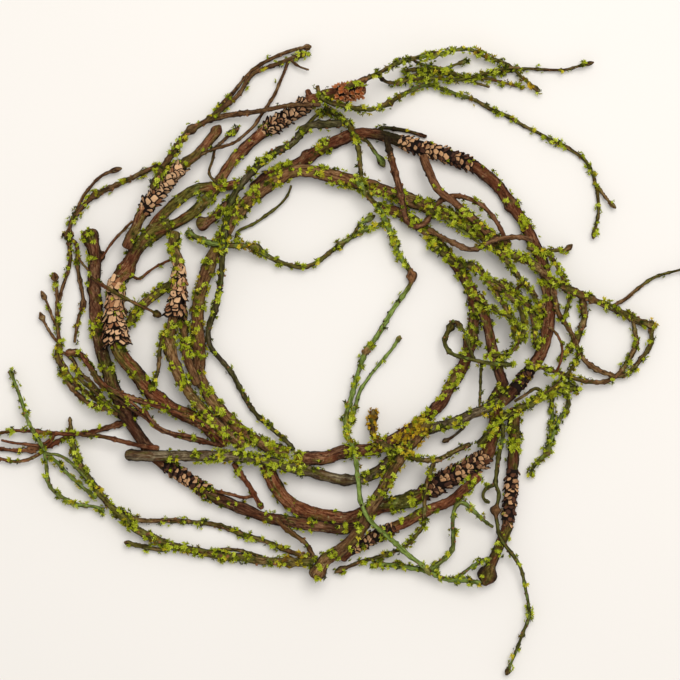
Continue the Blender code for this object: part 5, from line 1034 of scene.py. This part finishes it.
def ripe_buds(spec, finish, points, run):
    """How reddish a twig's bark is at its buds and knots, from 0 to 1."""
    bud = np.zeros(points.shape[:2])
    if "bud" in spec:
        half = spec["bud"][1]
        bud = bud + RIPE[finish] * (1 - smooth_step(run[-1, 0] - run, 1.8 * half, 2.4 * half))
    ripe = 0.9 if finish in (BARK, DARK_BARK) else 0.3
    for x, y, size in spec.get("knots", []):
        apart = np.hypot(points[:, :, 0] - x, points[:, :, 1] - y)
        bud = np.maximum(bud, ripe * (1 - smooth_step(apart, 0.9 * size, 1.6 * size)))
    return bud


def skin_stem(one, name, finish, seed, settings):
    """The stem's bark surface: rings of points with ridges and swollen joints, and what they carry."""
    draw = random.Random(seed)
    spec = one["spec"]
    step = settings.ring_step / MM
    along, line = fine_line(one["line"], step)
    usual = float(np.median(line[:, 3]))
    thin = usual < THIN_RADIUS
    sides = next(count for least, count in SKIN_SIDES if usual > least)
    mesh = tube_mesh(line, sides)
    flat = np.empty(len(mesh.vertices) * 3)
    mesh.vertices.foreach_get("co", flat)
    points = flat.reshape(len(line), sides, 3) / MM
    centre = line[:, None, :3]
    out = points - centre
    reach = np.linalg.norm(out, axis=2, keepdims=True)
    out = out / np.maximum(reach, 1e-6)
    turn = np.linspace(0, 2 * math.pi, sides, endpoint=False)[None, :]
    run = along[:, None]
    radius = line[:, 3][:, None]
    phase = [draw.uniform(0, 6.28) for _ in range(6)]
    around = [usual * np.cos(turn) + 0 * run, usual * np.sin(turn) + 0 * run, run * 0.22 + 0 * turn]
    grain = np.stack(around, axis=2) + np.array([seed % 97 * 3.1, seed % 31 * 5.7, 0.0])
    relief = bark_relief(points, grain, run, turn, phase)
    ends = np.minimum(1, np.minimum(run, along[-1] - run) / 3)
    shift = radius * (settings.relief * relief * ends + joint_swell(run, thin, draw))
    points = np.clip(centre + out * (reach + shift[:, :, None]), *BOX)
    mesh.vertices.foreach_set("co", (points * MM).ravel())
    x, y = points[:, :, 0], points[:, :, 1]
    upward = out[:, :, 2]
    cover = moss_cover(spec, run + 0 * turn, points, upward, radius, phase[4])
    bud = ripe_buds(spec, finish, points, run) if usual < TWIG_RADIUS else np.zeros_like(x)
    wash = WASH.get(name, WASH[finish]) + near_places(WASH_PLACES, x, y) + 0.28 * cover
    # Painted shade: a stem's sides and undersides darken; black places, SHADE and thin twigs add the bark's
    # own darker colour
    shade_and_dark_bark = 1 - smooth_step(upward, -0.1, 0.8) + near_places(BLACK_PLACES, x, y)
    shade_and_dark_bark = shade_and_dark_bark + SHADE.get(name, 0) + (THIN_SHADE if thin else 0)
    return {"mesh": mesh, "points": points, "out": out, "cover": cover * (1 - bud), "grain": grain,
            "bud": np.maximum(bud, RUDDY.get(name, 0)), "wash": wash, "shade_and_dark_bark": shade_and_dark_bark, "radius": radius,
            "usual": usual, "run": run, "area": 2 * math.pi * radius / sides * step}


def take_mesh(shaped, name):
    """Turns what was shaped into a mesh."""
    mesh = bpy.data.meshes.new(name)
    shaped.to_mesh(mesh)
    shaped.free()
    return mesh


def close_ends(shaped):
    """Closes the open rings at the ends of tubes."""
    open_edges = [edge for edge in shaped.edges if edge.is_boundary]
    bmesh.ops.holes_fill(shaped, edges=open_edges, sides=0)
    bmesh.ops.recalc_face_normals(shaped, faces=shaped.faces)


def add_piece(name, mesh, material):
    """Puts a finished mesh in the scene as a piece of the wreath."""
    mesh.name = name
    mesh.materials.clear()
    mesh.materials.append(material)
    piece = bpy.data.objects.new(name, mesh)
    bpy.context.scene.collection.objects.link(piece)
    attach(piece, "root")
    return piece


def carry(mesh, name, kind, values):
    """Stores values on a mesh's points."""
    layer = mesh.attributes.new(name, kind, "POINT")
    key = "vector" if kind == "FLOAT_VECTOR" else "value"
    layer.data.foreach_set(key, np.ravel(values).astype(np.float32))


def scatter(name, template, spots, carried):
    """Sets turned and scaled copies of a template at the spots and returns them as one mesh.

    A spot is a place, a turn (Euler angles) and a size. The carried values go to the copies' points.
    """
    marks = bpy.data.meshes.new(name + "_marks")
    marks.vertices.add(len(spots))
    marks.vertices.foreach_set("co", np.ravel([spot[0] for spot in spots]))
    carry(marks, "turn", "FLOAT_VECTOR", [spot[1] for spot in spots])
    carry(marks, "size", "FLOAT_VECTOR", [spot[2] for spot in spots])
    for key, values in carried.items():
        carry(marks, key, "FLOAT", values)
    source = bpy.data.objects.new("template", template)
    group = bpy.data.node_groups.new("copies", "GeometryNodeTree")
    group.interface.new_socket("Geometry", in_out="INPUT", socket_type="NodeSocketGeometry")
    group.interface.new_socket("Geometry", in_out="OUTPUT", socket_type="NodeSocketGeometry")
    start = group.nodes.new("NodeGroupInput")
    end = group.nodes.new("NodeGroupOutput")
    shape = group.nodes.new("GeometryNodeObjectInfo")
    shape.inputs["Object"].default_value = source
    copies = group.nodes.new("GeometryNodeInstanceOnPoints")
    real = group.nodes.new("GeometryNodeRealizeInstances")
    for key, socket in (("turn", "Rotation"), ("size", "Scale")):
        value = group.nodes.new("GeometryNodeInputNamedAttribute")
        value.data_type = "FLOAT_VECTOR"
        value.inputs["Name"].default_value = key
        group.links.new(value.outputs["Attribute"], copies.inputs[socket])
    group.links.new(start.outputs[0], copies.inputs["Points"])
    group.links.new(shape.outputs["Geometry"], copies.inputs["Instance"])
    group.links.new(copies.outputs[0], real.inputs[0])
    group.links.new(real.outputs[0], end.inputs[0])
    holder = bpy.data.objects.new(name + "_marks", marks)
    bpy.context.scene.collection.objects.link(holder)
    holder.modifiers.new("copies", "NODES").node_group = group
    bpy.context.view_layer.update()
    made = bpy.data.meshes.new_from_object(holder.evaluated_get(bpy.context.evaluated_depsgraph_get()))
    bpy.data.objects.remove(holder)
    bpy.data.objects.remove(source)
    bpy.data.node_groups.remove(group)
    return made


def spot(place, outward, spin, size):
    """A place in millimetres, a template's +Z along the outward direction turned by a spin, and a size."""
    turned = Vector(outward).to_track_quat("Z", "Y") @ Quaternion((0, 0, 1), spin)
    return [c * MM for c in place], tuple(turned.to_euler()), size


def has_room(place):
    """Whether what grows at a place in millimetres stays off the floor and inside the model's outline."""
    return place[2] > FLOOR_ROOM and bool(np.all(np.abs(place[:2] - BOX[:, :2].mean(axis=0)) < ROOM))


def moss_rosette(leaves, usual_rise, width, seed):
    """A rosette of pointed leaves one unit long, each a thin closed form of four faces, spread about +Z."""
    draw = random.Random(seed)
    shaped = bmesh.new()
    reach = shaped.verts.layers.float.new("reach")
    for leaf in range(leaves):
        turn = 2 * math.pi * (leaf + draw.uniform(-0.3, 0.3)) / leaves
        rise = usual_rise + draw.uniform(-0.35, 0.35)
        length = draw.uniform(0.6, 1.3)
        ahead = Vector((math.cos(turn) * math.cos(rise), math.sin(turn) * math.cos(rise), math.sin(rise)))
        across = Vector((-math.sin(turn), math.cos(turn), 0))
        back = ahead.cross(across)
        corners = [shaped.verts.new(ahead * -0.1), shaped.verts.new(ahead * length)]
        for side in (-1, 1):
            wing = ahead * length * 0.45 + across * side * width - back * 0.1
            corners.append(shaped.verts.new(wing))
        for corner, share in zip(corners, (0.0, 1.0, 0.5, 0.5)):
            corner[reach] = share
        bmesh.ops.convex_hull(shaped, input=corners)
    bmesh.ops.recalc_face_normals(shaped, faces=shaped.faces)
    return take_mesh(shaped, "rosette")


def flake_plate(bend, curl, thickness, seed):
    """A ragged bark flake about one unit across: a closed plate bent round the stem, with curled edges."""
    draw = random.Random(seed)
    shaped = bmesh.new()
    bmesh.ops.create_grid(shaped, x_segments=3, y_segments=3, size=0.5)
    rim = shaped.verts.layers.float.new("rim")
    for vertex in shaped.verts:
        edge = 1.0 if vertex.is_boundary else 0.0
        vertex[rim] = edge
        spread = 1.0 if edge else 1.6
        x = vertex.co.x * spread
        y = vertex.co.y * spread
        corner = 1 - 0.9 * abs(x * y)
        vertex.co.x = x * corner + draw.uniform(-0.09, 0.09) * edge
        vertex.co.y = y * (corner + 0.1) + draw.uniform(-0.09, 0.09) * edge
        vertex.co.z = curl * y * y - bend * x * x + draw.uniform(-0.05, 0.05)
    bmesh.ops.solidify(shaped, geom=shaped.faces[:], thickness=thickness)
    bmesh.ops.recalc_face_normals(shaped, faces=shaped.faces)
    return take_mesh(shaped, "flake")


def knob_template():
    """A small low knob one unit across."""
    shaped = bmesh.new()
    bmesh.ops.create_icosphere(shaped, subdivisions=1, radius=0.5)
    for vertex in shaped.verts:
        vertex.co.z = vertex.co.z * 0.8 + 0.05
    return take_mesh(shaped, "knob")


LAID = lay_wreath()
SKINS = {}


def skins(settings):
    """The bark surface of every stem, by node. Made once for all operators."""
    if not SKINS:
        for number, node in enumerate(LAID):
            made = [skin_stem(one, node["name"], node["finish"], SEED * 500 + number * 20 + order, settings)
                    for order, one in enumerate(node["stems"])]
            SKINS[node["name"]] = made
    return SKINS


class WreathBark(bpy.types.Operator):
    """Makes the bark of every vine and twig, one piece for each node"""
    bl_idname = "wreath.bark"
    bl_label = "Bark"

    def execute(self, context):
        settings = context.scene.wreath_bark
        finishes = {slot: bark_finish(slot, settings) for slot in BARK_TONES}
        for node in LAID:
            made = skins(settings)[node["name"]]
            shaped = bmesh.new()
            for skin in made:
                shaped.from_mesh(skin["mesh"])
            close_ends(shaped)
            mesh = take_mesh(shaped, node["name"] + "_bark")
            mesh.shade_smooth()
            grain = np.concatenate([skin["grain"].reshape(-1, 3) for skin in made])
            carry(mesh, "grain", "FLOAT_VECTOR", grain)
            for key in ("wash", "bud", "shade_and_dark_bark"):
                carry(mesh, key, "FLOAT", np.concatenate([skin[key].ravel() for skin in made]))
            piece = add_piece(node["name"] + "_bark", mesh, finishes[node["finish"]])
            if not node["name"].startswith("fine_"):
                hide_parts(node["name"])
        return {"FINISHED"}


class WreathKnobs(bpy.types.Operator):
    """Sets small knobs on the thin twigs"""
    bl_idname = "wreath.knobs"
    bl_label = "Knobs"

    def execute(self, context):
        settings = context.scene.wreath_bark
        draw = np.random.default_rng(SEED)
        spots = []
        for node in LAID:
            for skin in skins(settings)[node["name"]]:
                if skin["usual"] > TWIG_RADIUS:
                    continue
                points, outs = skin["points"], skin["out"]
                rings, sides = points.shape[:2]
                count = int(skin["run"][-1, 0] * MM / settings.knob_spacing)
                for _ in range(count):
                    ring = draw.integers(KNOB_FREE_RINGS, rings - KNOB_FREE_RINGS)
                    side = draw.integers(0, sides)
                    wide = 0.5 + float(skin["radius"][ring, 0]) * draw.uniform(0.3, 0.9)
                    size = (wide, wide * draw.uniform(0.7, 1.3), wide * draw.uniform(0.7, 1.1))
                    if has_room(points[ring, side]):
                        size = tuple(c * MM for c in size)
                        spots.append(spot(points[ring, side], outs[ring, side], draw.uniform(0, 6), size))
        mesh = scatter("twig_knobs", knob_template(), spots, {"tint": draw.random(len(spots))})
        mesh.shade_smooth()
        add_piece("twig_knobs", mesh, knob_finish())
        return {"FINISHED"}


class WreathMoss(bpy.types.Operator):
    """Grows rosettes of moss leaves on the mossy bark, one piece for each quarter of the wreath"""
    bl_idname = "wreath.moss"
    bl_label = "Moss"

    def execute(self, context):
        settings = context.scene.wreath_moss
        draw = np.random.default_rng(SEED)
        quarters = {}
        for node in LAID:
            for skin in skins(context.scene.wreath_bark)[node["name"]]:
                weight = (skin["cover"] * skin["area"]).ravel()
                count = int(weight.sum() * settings.density)
                if count:
                    chosen = draw.choice(len(weight), size=count, p=weight / weight.sum())
                    bases = skin["points"].reshape(-1, 3)[chosen]
                    outs = skin["out"].reshape(-1, 3)[chosen]
                    dry = near_places(DRY_PLACES, bases[:, 0], bases[:, 1])
                    for base, outward, thick, share in zip(bases, outs, skin["cover"].ravel()[chosen], dry):
                        self.grow_clump(quarters, base, outward, thick, share, settings, draw)
        finish = moss_finish(settings)
        template = moss_rosette(ROSETTE_LEAVES, LEAF_RISE, LEAF_WIDTH, SEED)
        for key in sorted(quarters):
            grown = quarters[key]
            carried = {"tint": [values[1] for values in grown], "dry": [values[2] for values in grown]}
            mesh = scatter("moss_" + key, template, [values[0] for values in grown], carried)
            add_piece("moss_" + key, mesh, finish)
        return {"FINISHED"}

    def grow_clump(self, quarters, base, outward, thick, share, settings, draw):
        """One clump: a few rosettes that splay out from a raised middle, brighter towards their top as
        painted light.
        """
        height = settings.clump / MM * draw.uniform(0.4, 1.3) * (0.4 + 0.6 * thick)
        wide = draw.uniform(0.6, 1.2)
        mood = draw.uniform(-0.3, 0.2)
        dry = min(1.0, draw.uniform(0.2, 0.6) + 0.8 * share) * (draw.random() < share + DRY_USUAL)
        for _ in range(draw.integers(2, 6)):
            offset = draw.normal(0, 0.6 * wide, 3)
            offset = offset - outward * min(0.0, float(offset @ outward))
            offset = offset * min(1.0, CLUMP_REACH / np.linalg.norm(offset))
            lift = math.exp(-float(offset @ offset) / wide ** 2)
            place = base + offset + outward * (lift * height - 0.2)
            if not has_room(place):
                continue
            size = settings.leaf * draw.uniform(0.6, 1.15) * (0.7 + 0.3 * thick)
            key = "upper_" if place[1] > QUARTERS_MEET[1] else "lower_"
            key += "left" if place[0] < QUARTERS_MEET[0] else "right"
            # Tint: random tone per clump and rosette, plus painted light that brightens the rosettes sitting
            # higher in the clump
            tint = mood + 0.5 * draw.random() + 0.5 * lift * (0.5 + 0.5 * thick)
            facing = outward + offset * 0.8 / wide + draw.normal(0, 0.25, 3)
            turned = spot(place, facing, draw.uniform(0, 6), (size, size, size))
            quarters.setdefault(key, []).append((turned, tint, dry))


# Share of light flakes at the start and end of the sleeves
LIGHT_SHARES = {
    "chip_sleeve_bottom": (0.25, 0.9), "chip_sleeve_arch": (0.9, 0.4), "chip_sleeve_right": (0.15, 0.15),
    "chip_sleeve_outer": (0.45, 0.45), "chip_sleeve_lower": (0.45, 0.45), "chip_sleeve_corner": (0.5, 0.5),
}
LIGHT_USUAL = (0.6, 0.75)

# How loose the flakes are at the start and end of some sleeves, from 0 to 1, which widens the painted shade
# on their rims
LOOSE_SHARES = {"chip_sleeve_left": (1.0, 0.0), "chip_sleeve_upper": (0.95, 0.45)}
LOOSE_USUAL = 0.75

# Plates of a sleeve by finish: scale, packing, greatest share of the width and of the length, bend and curl
PLATE_KINDS = 3
PLATES = {
    FLAKES: (1.12, 0.75, 1.5, 1.4, 0.5, 0.1),
    DARK_FLAKES: (0.95, 0.85, 1.05, 1.1, 0.6, -0.5),
    BARK: (0.72, 0.85, 1.05, 1.1, -0.8, 1.1),
}


def frame_turn(rows, spin):
    """Euler angles of a frame given by its side, length and outward directions, turned by a spin."""
    turned = Matrix([list(row) for row in rows]).transposed()
    return tuple((turned.to_quaternion() @ Quaternion((0, 0, 1), spin)).to_euler())


def core_tube(route, outer):
    """The closed tube beneath a sleeve's plates, painted near black as the shade that shows between them."""
    core = route.copy()
    core[3:-3, 3] = np.maximum(route[3:-3, 3] + CORE_COVER, outer[3:-3] * CORE_SHARE)
    shaped = bmesh.new()
    shaped.from_mesh(tube_mesh(core, CORE_SIDES))
    close_ends(shaped)
    mesh = take_mesh(shaped, "core")
    carry(mesh, "core", "FLOAT", np.ones(len(mesh.vertices)))
    return mesh


def lay_plates(sleeve, along, route, outer, plate, draw):
    """Rows of overlapping plates round a sleeve: their spots, their tints and how much painted shade darkens
    their rims.
    """
    name, _, _, width, flare, slot = sleeve
    _, packing, widest, longest, _, _ = PLATES[slot]
    light = LIGHT_SHARES.get(name, LIGHT_USUAL)
    spots, tints, edge_shades = [], [], []
    row = 0.0
    while row < along[-1]:
        ring = max(1, min(int(np.searchsorted(along, row)), len(route) - 2))
        share = along[ring] / along[-1]
        ahead = Vector(route[ring + 1, :3] - route[ring - 1, :3]).normalized()
        across = ahead.cross(Vector((0, 0, 1))).normalized()
        up = across.cross(ahead)
        count = max(5, int(round(2 * math.pi * outer[ring] / (plate * packing))))
        start = draw.uniform(0, 6.28)
        loose = share ** 2 if flare > width else LOOSE_USUAL
        if name in LOOSE_SHARES:
            loose = float(np.interp(share, (0, 1), LOOSE_SHARES[name]))
        for place in range(count):
            turn = start + 2 * math.pi * (place + draw.uniform(-0.35, 0.35)) / count
            out = up * math.cos(turn) + across * math.sin(turn)
            tilt = 0.1 + 0.45 * loose + draw.uniform(-0.2, 0.3 + 0.4 * loose)
            normal = (out - ahead * tilt).normalized()
            centre = Vector(route[ring, :3]) + ahead * draw.uniform(-0.3, 0.3) * plate
            where = centre + out * (outer[ring] - 0.7 + draw.uniform(-0.6, 0.4))
            side = (ahead - normal * ahead.dot(normal)).normalized()
            wide = plate * packing * draw.uniform(0.75, widest)
            long = plate * draw.uniform(0.75, longest)
            euler = frame_turn(np.array([side.cross(normal), side, normal]), draw.uniform(-0.7, 0.7))
            spots.append(([c * MM for c in where], euler, (wide * MM, long * MM, plate * MM)))
            is_light = draw.random() < light[0] + (light[1] - light[0]) * share
            tints.append(draw.uniform(0.5, 1.0) if is_light else draw.uniform(0.0, 0.45))
            edge_shades.append(loose)
        row += plate * packing * draw.uniform(0.7, 1.0)
    return spots, tints, edge_shades


class WreathFlakes(bpy.types.Operator):
    """Makes the flaky bark sleeves, each a core painted dark as shade, with overlapping bent plates"""
    bl_idname = "wreath.flakes"
    bl_label = "Flaky sleeves"

    def execute(self, context):
        settings = context.scene.wreath_flakes
        finishes = {slot: flake_finish(slot, settings) for slot in PLATES}
        draw = np.random.default_rng(SEED)
        for node in LAID:
            for one in node["stems"]:
                for sleeve in one["spec"].get("sleeves", []):
                    self.make_sleeve(sleeve, one["line"], settings, finishes, draw)
        return {"FINISHED"}

    def make_sleeve(self, sleeve, line, settings, finishes, draw):
        """One sleeve: a core tube painted dark as shade, and rows of plates that flare towards its end."""
        name, first, last, width, flare, slot = sleeve
        a, b = nearest(line, first), nearest(line, last)
        stretch = line[min(a, b):max(a, b) + 1]
        if a > b:
            stretch = stretch[::-1]
        along, route = fine_line(stretch, SLEEVE_STEP)
        share = along / along[-1]
        thin = np.minimum(1, np.minimum(share, 1 - share) * along[-1] / 4)
        outer = flared_radius(width, flare, share) * (0.75 + 0.25 * np.sqrt(thin))
        scale, _, _, _, bend, curl = PLATES[slot]
        shaped = bmesh.new()
        shaped.from_mesh(core_tube(route, outer))
        laid = lay_plates(sleeve, along, route, outer, settings.plate / MM * scale, draw)
        for kind in range(PLATE_KINDS):
            spots, tints, edge_shades = [values[kind::PLATE_KINDS] for values in laid]
            template = flake_plate(bend, curl, settings.thickness / settings.plate, SEED + kind)
            shaped.from_mesh(scatter(name, template, spots, {"tint": tints, "edge_shade": edge_shades}))
        piece = add_piece(name + "_flakes", take_mesh(shaped, name), finishes[slot])
        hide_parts(name)


class WreathStage(bpy.types.Operator):
    """Sets the pale floor, the soft light and the camera that looks straight down"""
    bl_idname = "wreath.stage"
    bl_label = "Floor, light and camera"

    def execute(self, context):
        settings = context.scene.wreath_stage
        shaped = bmesh.new()
        bmesh.ops.create_grid(shaped, x_segments=1, y_segments=1, size=FLOOR_SIZE)
        bmesh.ops.translate(shaped, verts=shaped.verts, vec=(0, 0, -FLOOR_DROP))
        mesh = take_mesh(shaped, "floor")
        made = Finish("floor_finish")
        wash = made.noise(made.place(), 6.0, 2.0)
        tone = Vector(settings.floor)
        colour = made.mix(wash, tuple(tone * 0.97), tuple(tone))
        mesh.materials.append(made.finish(colour, 0.6 + 0.1 * wash, wash, 0.05 * MM))
        floor = bpy.data.objects.new("floor", mesh)
        context.scene.collection.objects.link(floor)
        light = bpy.data.lights.new("key_light", "AREA")
        light.shape = "DISK"
        light.size = LIGHT_SIZE
        light.energy = settings.key_power
        light.color = LIGHT_COLOUR
        lamp = bpy.data.objects.new("key_light", light)
        lamp.location = LIGHT_PLACE
        lamp.rotation_euler = (-Vector(lamp.location)).to_track_quat("-Z", "Y").to_euler()
        context.scene.collection.objects.link(lamp)
        world = bpy.data.worlds.new("studio")
        world.use_nodes = True
        backdrop = world.node_tree.nodes["Background"]
        backdrop.inputs["Color"].default_value = SKY_COLOUR
        backdrop.inputs["Strength"].default_value = settings.sky
        context.scene.world = world
        lens = bpy.data.cameras.new("camera")
        lens.sensor_width = SENSOR
        lens.lens = SENSOR * (settings.camera_height - STEM_HEIGHT * MM) / settings.view_width
        lens.clip_end = FARTHEST
        camera = bpy.data.objects.new("camera", lens)
        camera.location = (0.0, PICTURE_MIDDLE * MM, settings.camera_height)
        context.scene.collection.objects.link(camera)
        context.scene.camera = camera
        context.scene.view_settings.view_transform = "Standard"
        return {"FINISHED"}


class WreathPanel(bpy.types.Panel):
    """Lists the steps that dress the wreath, with their sizes and colours"""
    bl_idname = "VIEW3D_PT_wreath"
    bl_label = "Moss candle ring"
    bl_space_type = "VIEW_3D"
    bl_region_type = "UI"
    bl_category = "Wreath"

    def draw(self, context):
        for operator, settings in STEPS:
            box = self.layout.box()
            box.operator(operator.bl_idname)
            group = getattr(context.scene, settings)
            for key in group.__annotations__:
                box.prop(group, key)


SETTINGS = {
    "wreath_bark": WreathBarkSettings,
    "wreath_moss": WreathMossSettings,
    "wreath_flakes": WreathFlakeSettings,
    "wreath_stage": WreathStageSettings,
}

STEPS = [
    (WreathBark, "wreath_bark"),
    (WreathKnobs, "wreath_bark"),
    (WreathMoss, "wreath_moss"),
    (WreathFlakes, "wreath_flakes"),
    (WreathStage, "wreath_stage"),
]


def register():
    """Registers the settings, the operators and the panel."""
    for key, group in SETTINGS.items():
        bpy.utils.register_class(group)
        setattr(bpy.types.Scene, key, bpy.props.PointerProperty(type=group))
    for operator, _ in STEPS:
        bpy.utils.register_class(operator)
    bpy.utils.register_class(WreathPanel)


def unregister():
    """Takes the panel, the operators and the settings away again."""
    bpy.utils.unregister_class(WreathPanel)
    for operator, _ in STEPS:
        bpy.utils.unregister_class(operator)
    for key, group in SETTINGS.items():
        delattr(bpy.types.Scene, key)
        bpy.utils.unregister_class(group)


def main():
    """Dresses the wreath step by step."""
    register()
    bpy.ops.wreath.bark()
    bpy.ops.wreath.knobs()
    bpy.ops.wreath.moss()
    bpy.ops.wreath.flakes()
    bpy.ops.wreath.stage()


if __name__ == "__main__":
    main()
